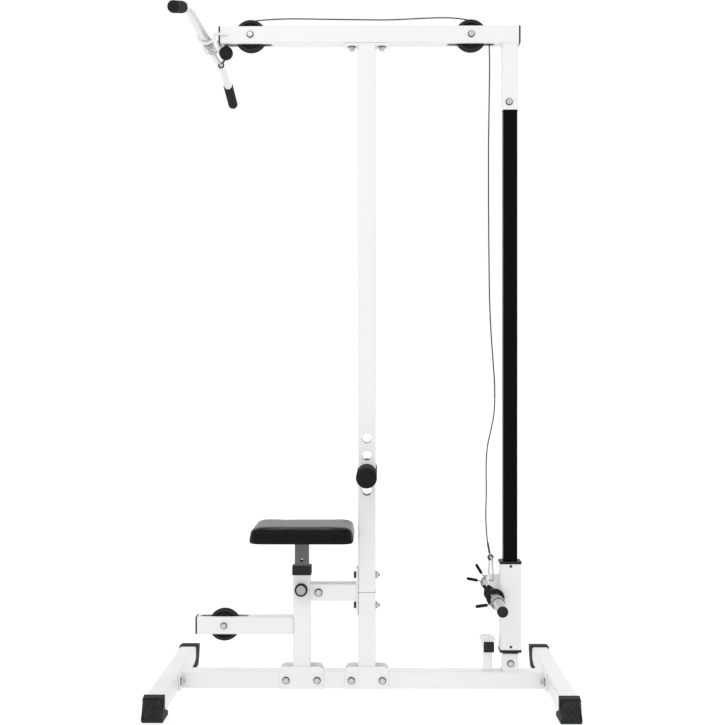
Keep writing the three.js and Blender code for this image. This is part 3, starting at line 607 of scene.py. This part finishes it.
mesh = bmesh.new()
for x in (seat_x, post_x):
    for y in (-HALF - 0.0006, HALF + 0.0006):
        for edge in (x - HALF, x + HALF):
            weld_bead(mesh, [(edge, y, 0.065), (edge, y, 0.0772)], 0.002)
        weld_bead(mesh, [(x - HALF + 0.005, y, 0.0782), (x + HALF - 0.005, y, 0.0782)], 0.002)
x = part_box("seat_arm")[1].x - 0.005
for out in (-HALF, HALF):
    weld_bead(mesh, [(x, out, ARM_Z - REACH), (x, out, ARM_Z + REACH)])
    weld_bead(mesh, [(x, -REACH, ARM_Z + out), (x, REACH, ARM_Z + out)])
piece(mesh, "post_welds", white, "frame", crease=60)

# ================================================================ top beam
# One tube across the top of the mast, bolted down on its flange, with a long slot cut right
# through it at each pulley. Black plastic caps close its ends and that of the low pulley arm.


def black_plastic():
    """Moulded black nylon with the fine spark grain of its mould."""
    material, spot = start_finish("black_plastic")
    end_finish(spot, between(speckle(spot, 30), (0.006, 0.006, 0.006), (0.011, 0.011, 0.0115)),
               0.42 + 0.18 * speckle(spot, 260), speckle(spot, 2200, 3.0), 0.00005,
               Specular_IOR_Level=0.3)
    return material


plastic = black_plastic()
dress(["top_beam", "low_pulley_arm"], white, 0.0012)
dress(["beam_cap_front", "beam_cap_rear", "arm_cap"], plastic, 0.001)
BEAM_TOP = 1.913
FLANGE_BOLT = 0.0435
UPPER_SOCKET = (-0.004, 1.694)
LOWER_SOCKET_Z = 0.087
mesh = bmesh.new()
for side in (-1, 1):
    x = post_x + side * FLANGE_BOLT
    fastener(mesh, (x, 0, BEAM_TOP), (0, 0, 1), "round", 0.018)
    fastener(mesh, (x, 0, BEAM_TOP - TUBE - FLANGE), (0, 0, -1), "dome")
for x, z in ((guide_x + UPPER_SOCKET[0], UPPER_SOCKET[1]), (guide_x, LOWER_SOCKET_Z)):
    cross_bolt(mesh, x, z, SOCKET, 0.015, 0.015, 0.0055)
piece(mesh, "beam_bolts", (zinc, dull), "frame")
mesh = bmesh.new()
socket_top = BEAM_TOP - TUBE - 0.0004
weld_bead(mesh, [(x, y, socket_top) for x, y, z in socket_corners])
for x in (post_x - HALF, post_x + HALF):
    weld_bead(mesh, [(x, -0.02, socket_top - 0.0062), (x, 0.02, socket_top - 0.0062)])
x = seat_x - HALF - 0.0006
for y in (-HALF, HALF):
    weld_bead(mesh, [(x, y, 0.173), (x, y, 0.215)])
weld_bead(mesh, [(x, -REACH, 0.219), (x, REACH, 0.219)])
piece(mesh, "beam_welds", white, "frame", crease=60)

# ================================================================ pulleys
# Three alike: a moulded nylon wheel with a deep rope groove, a dished web stiffened by ribs, and
# a sealed ball bearing pressed into its hub, on a bolt through the tube with a spacer each side.

WHEEL = 0.046
GROOVE = 0.0395
HALF_WIDTH = 0.011
BEARING = 0.0115


def pulley_wheel(name, x, z):
    """Rim, groove, dished web and ribs as one moulding, and the bearing's two races and shield."""
    place = facing((0, 1, 0), (x, 0, z))
    groove = [(GROOVE + (WHEEL - GROOVE) * (1 - math.cos(a)), 0.0008 + 0.0072 * math.sin(a))
              for a in (0, 0.35, 0.7, 1.05, 1.4)]
    right = [(BEARING, HALF_WIDTH), (0.0152, HALF_WIDTH), (0.0158, 0.0095), (0.0168, 0.005),
             (0.033, 0.005), (0.0355, 0.009), (0.0372, HALF_WIDTH - 0.0004),
             (0.0445, HALF_WIDTH - 0.0004), (0.0456, 0.0098), (WHEEL, 0.0088)]
    rim = [*right, *reversed(groove)]
    mesh = bmesh.new()
    turn(mesh, rim + [(r, -h) for r, h in reversed(rim)], place, 64)
    for c, s in circle(10):
        for height in (-0.0046, 0.0046):
            sweep(mesh, [place @ Vector((c * r, s * r, height)) for r in (0.0162, 0.02, 0.03, 0.0352)],
                  0.0016, 8)
    piece(mesh, f"{name}_wheel", plastic, name, crease=40, stands_for=[name])
    mesh = bmesh.new()
    for side in (-1, 1):
        turn(mesh, [(0.0054, side * 0.0105), (0.0074, side * 0.0105), (0.0076, side * 0.0098),
                    (0.0098, side * 0.0098), (0.01, side * 0.0105), (BEARING, side * 0.0105),
                    (BEARING, side * 0.006), (0.0054, side * 0.006)], place, 40)
    piece(mesh, f"{name}_bearing", zinc, name)


def pulley_bolt(name, x, z):
    """The through bolt with its two spacers, a washer and head in front and a lock nut behind."""
    mesh = bmesh.new()
    place = facing((0, 1, 0), (x, 0, z))
    inside = HALF - 0.0023
    far_half = [(0.005, 0.0113), (0.009, 0.0113), (0.009, inside), (0.005, inside), (0.005, HALF),
                (0, HALF)]
    turn(mesh, [(r, -h) for r, h in reversed(far_half)] + far_half, place, 32)
    cross_bolt(mesh, x, z, HALF + 0.0001, 0.0145, 0.0145, 0.0055)
    piece(mesh, f"{name}_fixing", (zinc, dull), "frame", stands_for=[name])


for name in ("front_pulley", "rear_pulley", "low_pulley"):
    axle = centre_of(name)
    pulley_wheel(name, axle.x, axle.z)
    pulley_bolt(f"{name}_bolt", axle.x, axle.z)

# ================================================================ guide tube
# The carriage runs on a 40 mm square tube in satin black, let into a socket at each end. The
# rubber buffer on the lower socket takes the carriage's fall.


def black_paint():
    """Satin black enamel, polished in faint upright streaks where the carriage's bushes run."""
    material, spot = start_finish("black_paint")
    stretched = spot.make("Mapping", {"Vector": spot, "Scale": (1.0, 1.0, 0.02)})
    streaks = speckle(stretched, 260, 3.0)
    end_finish(spot, between(streaks, (0.0015, 0.0015, 0.0016), (0.0035, 0.0035, 0.0037)),
               0.34 + 0.2 * streaks, speckle(spot, 900, 3.0), 0.00003, Specular_IOR_Level=0.05)
    return material


dress(["guide_tube"], black_paint(), 0.0008)
dress(["bottom_buffer"], black_rubber, 0.0006)

# ================================================================ weight carriage
# A 60 mm sleeve in white with a flanged nylon bush in each end, and a plate with an eye for the
# snap hook. A 30 mm tube is welded across its front as the two horns that hold the plates.

dress(["carriage_sleeve"], white, 0.0012)
dress(["carriage_bush_top", "carriage_bush_bottom"], plastic, 0.001)
HORN_R = 0.015
horn = centre_of("weight_horns")
horn.y = 0
SLEEVE = 0.03
SCREWS = (0.366, 0.136)
mesh = bmesh.new()
for z in SCREWS:
    for side in (-1, 1):
        place = facing((0, side, 0), (guide_x, side * SLEEVE, z))
        turn(mesh, [(0, 0), (0.0038, 0), (0.0036, 0.001), (0.0026, 0.0018), (0.0013, 0.002),
                    (0.0013, 0.001), (0, 0.001)], place, 24)
piece(mesh, "bush_screws", plastic, "weight_carriage")

mesh = bmesh.new()
half_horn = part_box("weight_horns")[1].y
inner = HORN_R - 0.0025
turn(mesh, [(inner, -half_horn), (HORN_R - 0.0006, -half_horn), (HORN_R, -half_horn + 0.0006),
            (HORN_R, half_horn - 0.0006), (HORN_R - 0.0006, half_horn), (inner, half_horn)],
     facing((0, 1, 0), horn), 48)
piece(mesh, "plate_horns", zinc, "weight_carriage", stands_for=["weight_horns"])

mesh = bmesh.new()
front = guide_x - SLEEVE
for side in (-1, 1):
    y, z = side * 0.003, horn.z + side * 0.009
    weld_bead(mesh, [(front, y, 0.293), (front, y, 0.338)], 0.002)
    weld_bead(mesh, [(front - 0.001, -0.028, z), (front - 0.001, 0.028, z)], 0.003)
piece(mesh, "carriage_welds", white, "weight_carriage", crease=60)

SIDES = (("near", -1), ("far", 1))
for name, side in SIDES:
    place = facing((0, side, 0), horn)
    mesh = bmesh.new()
    end = half_horn
    turn(mesh, [(0, end - 0.0157), (inner - 0.0006, end - 0.0157), (inner - 0.0006, end + 0.0003),
                (HORN_R, end + 0.0003), (HORN_R, end + 0.0046), (HORN_R - 0.0008, end + 0.0058),
                (0.0118, end + 0.0062), (0.0112, end + 0.0052), (0.0, end + 0.0052)], place, 48)
    piece(mesh, f"horn_end_{name}", plastic, "weight_carriage",
          stands_for=[f"horn_cap_{name}"])
    low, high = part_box(f"horn_stop_{name}")
    from_y, to_y = sorted((abs(low.y), abs(high.y)))
    outer = (high.z - low.z) / 2
    mesh = bmesh.new()
    profile = [(HORN_R + 0.0003, from_y), (outer - 0.002, from_y), (outer, from_y + 0.002)]
    for k in (1, 2, 3):
        middle = from_y + k * (to_y - from_y) / 4
        profile += [(outer, middle - 0.0007), (outer - 0.0009, middle), (outer, middle + 0.0007)]
    profile += [(outer, to_y - 0.002), (outer - 0.002, to_y), (HORN_R + 0.0003, to_y)]
    turn(mesh, profile, place, 48)
    piece(mesh, f"horn_ring_{name}", black_rubber, "weight_carriage",
          stands_for=[f"horn_stop_{name}"])

# ================================================================ spring collars
# Each is three turns of 3.8 mm spring wire that grip the horn. The wire's two ends stand out as
# handles with black dipped grips: squeezed together, they open the coil and let it slide.

SPRING_WIRE = 0.0038
HANDLES = {"near": (188, 130), "far": (169, 122)}
HANDLE_TIP = 0.064
GRIP_FROM = 0.029


def spring_steel():
    """Bright spring wire with drawing marks."""
    material, spot = start_finish("spring_steel")
    end_finish(spot, between(speckle(spot, 500), (0.30, 0.30, 0.31), (0.55, 0.55, 0.56)),
               0.22 + 0.15 * speckle(spot, 900), speckle(spot, 2000), 0.00002, Metallic=1.0)
    return material


spring = spring_steel()
for name in ("near", "far"):
    node = f"spring_collar_{name}"
    low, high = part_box(node)
    centre = Vector((horn.x, (low.y + high.y) / 2, horn.z))
    coil_r = HORN_R + 0.0008 + SPRING_WIRE / 2
    half_coil = (high.y - low.y) / 2 - SPRING_WIRE / 2 - 0.0005
    first, last = (math.radians(a) for a in HANDLES[name])

    def around(angle, radius, y):
        return centre + Vector((math.cos(angle) * radius, y, math.sin(angle) * radius))

    turns = 3 * 2 * math.pi - (first - last)
    handle = (HANDLE_TIP - 0.004, 0.045, 0.032, 0.025)
    wire = [around(first, r, -half_coil) for r in handle]
    for k in range(91):
        share = k / 90
        flared = coil_r + 0.0022 * (max(0, 1 - 12 * share) + max(0, 12 * share - 11))
        angle = first + turns * share + 0.12 * (1 - 2 * share)
        wire.append(around(angle, flared, half_coil * (2 * share - 1)))
    wire += [around(last, r, half_coil) for r in reversed(handle)]
    mesh = bmesh.new()
    sweep(mesh, smooth_path(wire, 2), SPRING_WIRE / 2, 12)
    piece(mesh, f"collar_spring_{name}", spring, f"collar_{name}", crease=60,
          stands_for=[node])
    mesh = bmesh.new()
    for angle, y in ((first, -half_coil), (last, half_coil)):
        place = facing(around(angle, 1, 0) - centre, around(angle, 0, y))
        profile = [(0, GRIP_FROM)]
        for k in range(25):
            share = k / 24
            bulge = 0.0047 + 0.0003 * math.cos(share * 14 * math.pi)
            from_end = min(1.0, 9 * min(share, 1 - share))
            round_off = math.sqrt(1 - (1 - from_end) ** 2)
            profile.append((max(0.0016, bulge * round_off),
                            GRIP_FROM + share * (HANDLE_TIP - GRIP_FROM)))
        profile.append((0, HANDLE_TIP))
        turn(mesh, profile, place, 20)
    piece(mesh, f"collar_grips_{name}", black_rubber, f"collar_{name}", crease=60)

# ================================================================ carriage stand
# A small T of white tube stands on the rail beside the guide: a 25 mm stem, a 30 mm crosspiece
# with a black plug in each end, and a thin plate on top.

dress(["carriage_stand"], white, 0.0008)
stand_x = centre_of("carriage_stand").x
CROSS, CROSS_HALF, CROSS_Z = 0.030, 0.048, 0.140
STEM_HALF = 0.0125
CORNERS = ((1, 1), (-1, 1), (-1, -1), (1, -1))


def rounded_outline(wide, tall, corner, steps):
    """Points round a rectangle with rounded corners, so many steps to each corner."""
    outline = []
    for quarter, (a, b) in enumerate(CORNERS):
        for k in range(steps + 1):
            angle = math.pi / 2 * (quarter + k / steps)
            outline.append((a * (wide / 2 - corner) + corner * math.cos(angle),
                            b * (tall / 2 - corner) + corner * math.sin(angle)))
    return outline


def rounded_block(mesh, centre, size, corner, along="y", steps=6):
    """A bar with rounded corners: size is its length along Y or Z, and its two sides."""
    length, wide, tall = size
    rings = []
    for end in (-length / 2, length / 2):
        offsets = [(u, end, v) if along == "y" else (u, v, end)
                   for u, v in rounded_outline(wide, tall, corner, steps)]
        rings.append([mesh.verts.new(Vector(centre) + Vector(offset)) for offset in offsets])
    bridge(mesh, *rings)
    for ring in rings:
        mesh.faces.new(ring)


mesh = bmesh.new()
for side in (-1, 1):
    for y, size, corner in ((CROSS_HALF + 0.0023, (0.004, CROSS, CROSS), 0.003),
                            (CROSS_HALF - 0.006, (0.014, 0.0254, 0.0254), 0.002)):
        rounded_block(mesh, (stand_x, side * y, CROSS_Z), size, corner)
piece(mesh, "stand_plugs", plastic, "frame", rounding=0.0008)
mesh = bmesh.new()
for x in (stand_x - STEM_HALF, stand_x + STEM_HALF):
    for z in (0.1248, 0.0648):
        weld_bead(mesh, [(x, -0.011, z), (x, 0.011, z)], 0.0016)
piece(mesh, "stand_welds", white, "frame", crease=60)

# ================================================================ snap hooks
# Two pear-shaped zinc hooks of 5.5 mm wire, each with a sprung wire gate on a hinge pin. The
# long one holds the cable to the carriage's eye plate, and the short one to the lat bar.

HOOK_WIRE = 0.0055
SMALL, BIG = 0.0065, 0.010
ROPE_END = Vector((-0.4085, 0, 1.8055))
bar_centre = Vector((-0.447, 0, 1.871))
pull = (ROPE_END - bar_centre).normalized()
lean = math.atan2(-pull.x, -pull.z)


def snap_hook(name, length, place, hook_body, gate_body):
    """An open hook whose small end is at the origin and whose big end hangs below it, and its gate."""
    reach = length - HOOK_WIRE
    bend = [(0, SMALL * math.cos(math.radians(a)), SMALL * (math.sin(math.radians(a)) - 1))
            for a in range(0, 181, 20)]
    bend += [(0, BIG * math.cos(math.radians(a)), BIG - reach + BIG * math.sin(math.radians(a)))
             for a in range(180, 361, 20)]
    bend = [(0, SMALL + 0.0004, -SMALL - 0.008), *bend, (0, BIG, BIG - reach + 0.008)]
    mesh = bmesh.new()
    wire = [place @ p for p in smooth_path(bend, 5)]
    sweep(mesh, wire, lambda share: HOOK_WIRE / 2 * (0.8 if share in (0, 1) else 1), 20)
    piece(mesh, f"{name}_body", zinc, hook_body, crease=50, stands_for=[name])
    top = Vector((0, SMALL + 0.0004, -SMALL - 0.0089))
    foot = Vector((0, BIG, BIG - reach + 0.0089))
    mesh = bmesh.new()
    steps = [place @ top.lerp(foot, k / 20) for k in range(21)]
    sweep(mesh, steps, lambda share: 0.0022 * (0.85 if share in (0, 1) else 1), 18)
    pin = place @ foot.lerp(top, 0.06)
    turn(mesh, [(0, -0.0034), (0.0013, -0.0034), (0.0015, -0.0031), (0.0015, 0.0031), (0.0013, 0.0034),
                (0, 0.0034)], facing((1, 0, 0), pin), 16)
    piece(mesh, f"{name}_latch", zinc, gate_body, crease=50, stands_for=[f"{name}_gate"])


twist = Matrix.Translation((0.3681, 0, 0.38915)) @ Matrix.Rotation(math.radians(32), 4, "Z")
snap_hook("carriage_hook", 0.074, twist, "weight_carriage", "carriage_gate")
upside_down = (Matrix.Translation(ROPE_END + pull * 0.001) @ Matrix.Rotation(lean, 4, "Y")
               @ Matrix.Rotation(math.pi, 4, "X"))
snap_hook("bar_hook", 0.0525, upside_down, "bar_link", "bar_gate")

# ================================================================ lat bar
# A 25 mm tube with both ends swept down, in satin chrome, with ribbed rubber grips. A hanger
# swings on its middle from the hook, and two bent rods on the beam give it a place to rest.


def chrome():
    """Satin chrome on the bar: bright, cool, with faint smears along it."""
    material, spot = start_finish("satin_chrome")
    smears = speckle(spot, 14, 3.0)
    end_finish(spot, between(smears, (0.74, 0.745, 0.75), (0.80, 0.805, 0.81)), 0.30 + 0.12 * smears,
               speckle(spot, 1800), 0.00001, Metallic=1.0)
    return material


dress(["bar_hanger"], zinc, 0.0006)
dress(["bar_rest_near", "bar_rest_far"], white)
BAR_R, BAR_HALF = 0.0125, 0.567
STRAIGHT, BEND = 0.355, 0.040
SLOPE = math.radians(15.5)
bar_place = Matrix.Translation(bar_centre) @ Matrix.Rotation(math.radians(-0.8), 4, "Z")


def bar_drop(y):
    """How far the bar's centre line has fallen at y from its middle."""
    near = (abs(y) - STRAIGHT) / BEND
    if near <= -1:
        return 0.0
    return -math.tan(SLOPE) * ((abs(y) - STRAIGHT) if near >= 1 else BEND * (near + 1) ** 2 / 4)


mesh = bmesh.new()
bar_ys = [BAR_HALF * k / 70 for k in range(-70, 71)]
sweep(mesh, [bar_place @ Vector((0, y, bar_drop(y))) for y in bar_ys], BAR_R, 36)
piece(mesh, "sweptdown_bar", chrome(), "pull_bar", crease=60, stands_for=["lat_bar"])

GRIP_TIP, GRIP_LENGTH = 0.2203, 0.1248
grip_bore = BAR_R + 0.0003
for name, side in SIDES:
    along_bar = bar_place.to_3x3() @ Vector((0, side * math.cos(SLOPE), -math.sin(SLOPE)))
    start = bar_place @ Vector((0, side * STRAIGHT, 0))
    begin, end = GRIP_TIP - GRIP_LENGTH, GRIP_TIP + 0.0042
    profile = [(0, GRIP_TIP + 0.0003), (grip_bore, GRIP_TIP + 0.0003), (grip_bore, begin),
               (0.0150, begin), (0.0153, begin + 0.0006), (0.0153, begin + 0.005),
               (0.0148, begin + 0.006)]
    for k in range(22):
        z = begin + 0.008 + (GRIP_LENGTH - 0.018) * k / 22
        profile += [(0.0148, z), (0.0153, z + 0.0008), (0.0153, z + 0.0026), (0.0148, z + 0.0034)]
    profile += [(0.0154, GRIP_TIP - 0.007), (0.0154, end - 0.004), (0.0147, end - 0.0018),
                (0.0128, end - 0.0004), (0.0105, end), (0.003, end), (0.0022, end - 0.0008),
                (0, end - 0.0008)]
    mesh = bmesh.new()
    turn(mesh, profile, facing(along_bar, start), 36)
    piece(mesh, f"bar_grip_{name}", black_rubber, "pull_bar", crease=30,
          stands_for=[f"grip_{name}"])

# ================================================================ seat
# A 40 mm tube drilled for its pin slides in the post through a plastic collar. A plate on top
# carries the pad: foam on a board, wrapped in black vinyl that is folded at the corners.

PAD = Vector((-0.1715, 0, 0.4423))
PAD_LENGTH, PAD_WIDTH, PAD_TALL = 0.292, 0.245, 0.049
dress(["seat_tube"], steel, 0.0008)
dress(["seat_collar"], plastic, 0.0012)


def black_vinyl():
    """Leather-grained vinyl: near black, with a soft sheen and a pebbled grain."""
    material, spot = start_finish("black_vinyl")
    grain = spot.make("TexVoronoi", {"Vector": spot, "Scale": 620.0}, {"feature": "SMOOTH_F1"})
    end_finish(spot, between(speckle(spot, 35), (0.003, 0.003, 0.0032), (0.006, 0.006, 0.0062)),
               0.2 + 0.1 * speckle(spot, 300), grain, 0.00014, Specular_IOR_Level=0.1)
    return material


vinyl = black_vinyl()
CUSHION_BOTTOM = PAD.z + 0.0004


def pad_blank():
    """The cushion before it swells: a block with rounded corners, a rolled top edge and a flat base."""
    mesh = bmesh.new()
    rings = []
    for z, inset in ((0, 0.001), (0.003, 0.0), (0.012, 0.0), (0.024, 0.0005), (0.031, 0.0018),
                     (0.0355, 0.0045), (0.0385, 0.009), (0.040, 0.015), (0.0408, 0.028), (0.0412, 0.07)):
        outline = rounded_outline(PAD_LENGTH - 2 * inset, PAD_WIDTH - 2 * inset,
                                  max(0.004, 0.027 - inset * 0.6), 8)
        rings.append([mesh.verts.new((PAD.x + u, v, CUSHION_BOTTOM + z)) for u, v in outline])
    for low, high in zip(rings, rings[1:]):
        bridge(mesh, low, high)
    mesh.faces.new(rings[0])
    mesh.faces.new(rings[-1])
    return mesh


pad = piece(pad_blank(), "pad_cushion", vinyl)


def apply_modifiers(made):
    """Leaves the object with the mesh its modifiers make."""
    bpy.context.view_layer.update()
    seen = made.evaluated_get(bpy.context.evaluated_depsgraph_get())
    data = bpy.data.meshes.new_from_object(seen)
    made.modifiers.clear()
    made.data = data


skin = pad.modifiers.new("skin", "REMESH")
skin.mode, skin.voxel_size = "VOXEL", 0.005
apply_modifiers(pad)
rest_shape = [v.co.copy() for v in pad.data.vertices]
held = pad.vertex_groups.new(name="board")
held.add([i for i, co in enumerate(rest_shape) if co.z < CUSHION_BOTTOM + 0.004], 1.0, "REPLACE")
swell = pad.modifiers.new("swell", "CLOTH")
swell.settings.use_pressure = True
swell.settings.uniform_pressure_force = 4.0
swell.settings.vertex_group_mass = "board"
swell.settings.tension_stiffness = swell.settings.compression_stiffness = 12
swell.settings.effector_weights.gravity = 0.0
swell.point_cache.frame_start, swell.point_cache.frame_end = 1, 20
for day in range(1, 21):
    scene.frame_set(day)
apply_modifiers(pad)
scene.frame_set(1)
most_swell = 0.0022
for v, start in zip(pad.data.vertices, rest_shape):
    moved = v.co - start
    v.co = start + moved * min(1.0, most_swell / max(moved.length, 1e-9))
smooth = pad.modifiers.new("smooth", "SUBSURF")
smooth.levels = smooth.render_levels = 1
apply_modifiers(pad)

# Three pleats fold round each corner, and the vinyl's hem hangs a little below the pad's edge.
PLEATS = (0.35, 0.8, 1.25)
PLEAT_WIDTH, PLEAT_DEPTH = 0.0021, 0.0017
HEM_DROP = 0.0034
for v in pad.data.vertices:
    co = v.co
    up = min(1.0, max(0.0, (co.z - CUSHION_BOTTOM) / 0.04))
    for a, b in CORNERS:
        pivot = Vector((PAD.x + a * (PAD_LENGTH / 2 - 0.032), b * (PAD_WIDTH / 2 - 0.032), co.z))
        out = co - pivot
        if out.x * a > 0 and out.y * b > 0 and out.length > 0.01:
            angle = math.atan2(out.y * b, out.x * a)
            for k, pleat in enumerate(PLEATS):
                near = (angle - pleat - 0.05 * (1 - up)) * out.length / PLEAT_WIDTH
                fade = max(0.0, 1 - up * (1.1 + 0.25 * (k % 2)))
                depth = PLEAT_DEPTH * math.exp(-near * near) * fade
                co -= out.normalized() * depth
    co.x = min(PAD.x + PAD_LENGTH / 2, max(PAD.x - PAD_LENGTH / 2, co.x))
    co.y = min(PAD_WIDTH / 2, max(-PAD_WIDTH / 2, co.y))
    co.z = min(PAD.z + PAD_TALL, max(CUSHION_BOTTOM, co.z))
    rim = min(1.0, max(0.0, max(abs(co.x - PAD.x) - 0.115, abs(co.y) - 0.092) / 0.02))
    co.z -= HEM_DROP * rim * rim * (3 - 2 * rim) * max(0.0, 1 - (co.z - CUSHION_BOTTOM) / 0.012)
pad.data.shade_smooth()
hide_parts("seat_pad")
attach(pad, "seat")

mesh = bmesh.new()
rounded_block(mesh, (PAD.x, 0, PAD.z + 0.0001), (0.0005, PAD_LENGTH - 0.03, PAD_WIDTH - 0.03), 0.02, "z")
piece(mesh, "pad_dust_cover", plastic, "seat", crease=60)
mesh = bmesh.new()
u, v = PAD_LENGTH / 2 - 0.020, PAD_WIDTH / 2 - 0.020
for k in range(13):
    t = 1.84 * ((k + 0.5) / 13 - 0.5)
    for side in (-1, 1):
        for x, y, size in ((t * u, side * v, (0.0004, 0.009, 0.001)),
                           (side * u, t * v, (0.0004, 0.001, 0.009))):
            rounded_block(mesh, (PAD.x + x, y, PAD.z - 0.0003), size, 0.0003, "z", 2)
piece(mesh, "pad_staples", steel, "seat")
mesh = bmesh.new()
PLATE_LOW = 0.4367
for a, b in CORNERS:
    fastener(mesh, (seat_x + a * 0.068, b * 0.045, PLATE_LOW), (0, 0, -1), "round", 0.013)
piece(mesh, "pad_screws", (zinc, dull), "seat")
mesh = bmesh.new()
SEAT_TUBE_R = 0.020
weld_bead(mesh, [(seat_x + a * SEAT_TUBE_R, b * SEAT_TUBE_R, PLATE_LOW - 0.0006)
                 for a, b in ((-1, -0.8), (-1, 0.8), (-0.8, 1), (0.8, 1), (1, 0.8), (1, -0.8), (0.8, -1),
                              (-0.8, -1), (-1, -0.8))])
piece(mesh, "plate_weld", steel, "seat", crease=60)

# The pin is pulled by a black knob with a bright steel disc let into its face.
pin_low, pin_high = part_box("seat_knob")
PIN_Z = (pin_low.z + pin_high.z) / 2
KNOB_R = (pin_high.z - pin_low.z) / 2
KNOB_FACE = -0.0363
to_front = facing((0, -1, 0), (seat_x, KNOB_FACE, PIN_Z))
mesh = bmesh.new()
turn(mesh, [(0, 0), (0.0145, 0), (0.0165, 0.0012), (KNOB_R - 0.0006, 0.0042), (KNOB_R, 0.006),
            (KNOB_R, 0.0185), (KNOB_R - 0.0007, 0.0203), (KNOB_R - 0.0025, 0.0217),
            (KNOB_R - 0.0036, 0.022), (0.0140, 0.022), (0.0136, 0.0213), (0.0136, 0.0205),
            (0, 0.0205)], to_front, 48)
flute_r = KNOB_R - 0.0004
for c, s in circle(30):
    sweep(mesh, [to_front @ Vector((flute_r * c, flute_r * s, h)) for h in (0.0065, 0.012, 0.018)],
          0.0004, 6)
piece(mesh, "pin_knob", plastic, "seat_pin", crease=40, stands_for=["seat_knob"])
mesh = bmesh.new()
turn(mesh, [(0, 0.0203), (0.0132, 0.0203), (0.0132, 0.0212), (0.0126, 0.0216), (0.0095, 0.0216),
            (0.0091, 0.0207), (0.0083, 0.0207), (0.0079, 0.0216), (0.0042, 0.0218), (0.0038, 0.0209),
            (0, 0.0209)], to_front, 40)
pin_length = pin_high.y - KNOB_FACE
turn(mesh, [(0, 0.0), (0.004, 0.0), (0.004, pin_length), (0, pin_length)],
     facing((0, 1, 0), (seat_x, KNOB_FACE, PIN_Z)), 24)
piece(mesh, "pin_and_disc", spring, "seat_pin")

# ================================================================ thigh rollers
# Two foam rollers turn on a bar through the mast, which can stand in any of its four holes. A
# black bush lines the hole on each side and keeps the rollers off the paint.


def foam():
    """Closed-cell black foam: matt, with fine open pores in its skin."""
    material, spot = start_finish("black_foam")
    pores = spot.make("TexVoronoi", {"Vector": spot, "Scale": 900.0})
    end_finish(spot, between(speckle(spot, 40), (0.008, 0.008, 0.0082), (0.015, 0.015, 0.0155)),
               0.82 + 0.15 * speckle(spot, 150), pores, 0.0003, Specular_IOR_Level=0.18)
    return material


sponge = foam()
bar_low, bar_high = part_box("roller_bar")
ROLLER_BAR = (bar_high.z - bar_low.z) / 2
axis = (bar_low + bar_high) / 2
mesh = bmesh.new()
half_bar = bar_high.y
turn(mesh, [(0, -half_bar), (ROLLER_BAR - 0.001, -half_bar), (ROLLER_BAR, -half_bar + 0.001),
            (ROLLER_BAR, half_bar - 0.001), (ROLLER_BAR - 0.001, half_bar), (0, half_bar)],
     facing((0, 1, 0), axis), 40)
piece(mesh, "roller_shaft", zinc, "frame", stands_for=["roller_bar"])
mesh = bmesh.new()
for side in (-1, 1):
    turn(mesh, [(ROLLER_BAR + 0.0002, HALF + 0.0002), (0.0178, HALF + 0.0002), (0.0178, 0.0275),
                (0.0168, 0.0285), (ROLLER_BAR + 0.0002, 0.0285)], facing((0, side, 0), axis), 40)
piece(mesh, "roller_bushes", plastic, "frame")

for name, side in SIDES:
    node = f"roller_{name}"
    low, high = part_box(node)
    outer = (high.z - low.z) / 2
    inside, outside = sorted((abs(low.y), abs(high.y)))
    bore = ROLLER_BAR + 0.0003
    edge = 0.008
    corner = [(outer - edge + edge * math.sin(a), edge * (1 - math.cos(a)))
              for a in (0, 0.26, 0.52, 0.79, 1.05, 1.31, 1.5708)]
    profile = [(0, outside - 0.0017), (bore, outside - 0.0017), (bore, inside + 0.0005),
               (bore + 0.0006, inside)]
    profile += [(r, inside + h) for r, h in corner]
    profile += [(outer - 0.0003, inside + (outside - inside) * t) for t in (0.25, 0.5, 0.75)]
    profile += [(r, outside - h) for r, h in reversed(corner)]
    profile += [(0.0155, outside), (0.0148, outside - 0.0007), (0.0140, outside), (0.004, outside),
                (0, outside - 0.0003)]
    mesh = bmesh.new()
    turn(mesh, profile, facing((0, side, 0), (axis.x, 0, axis.z)), 56)
    piece(mesh, f"roller_foam_{name}", sponge, f"roller_{name}", crease=50,
          stands_for=[node])
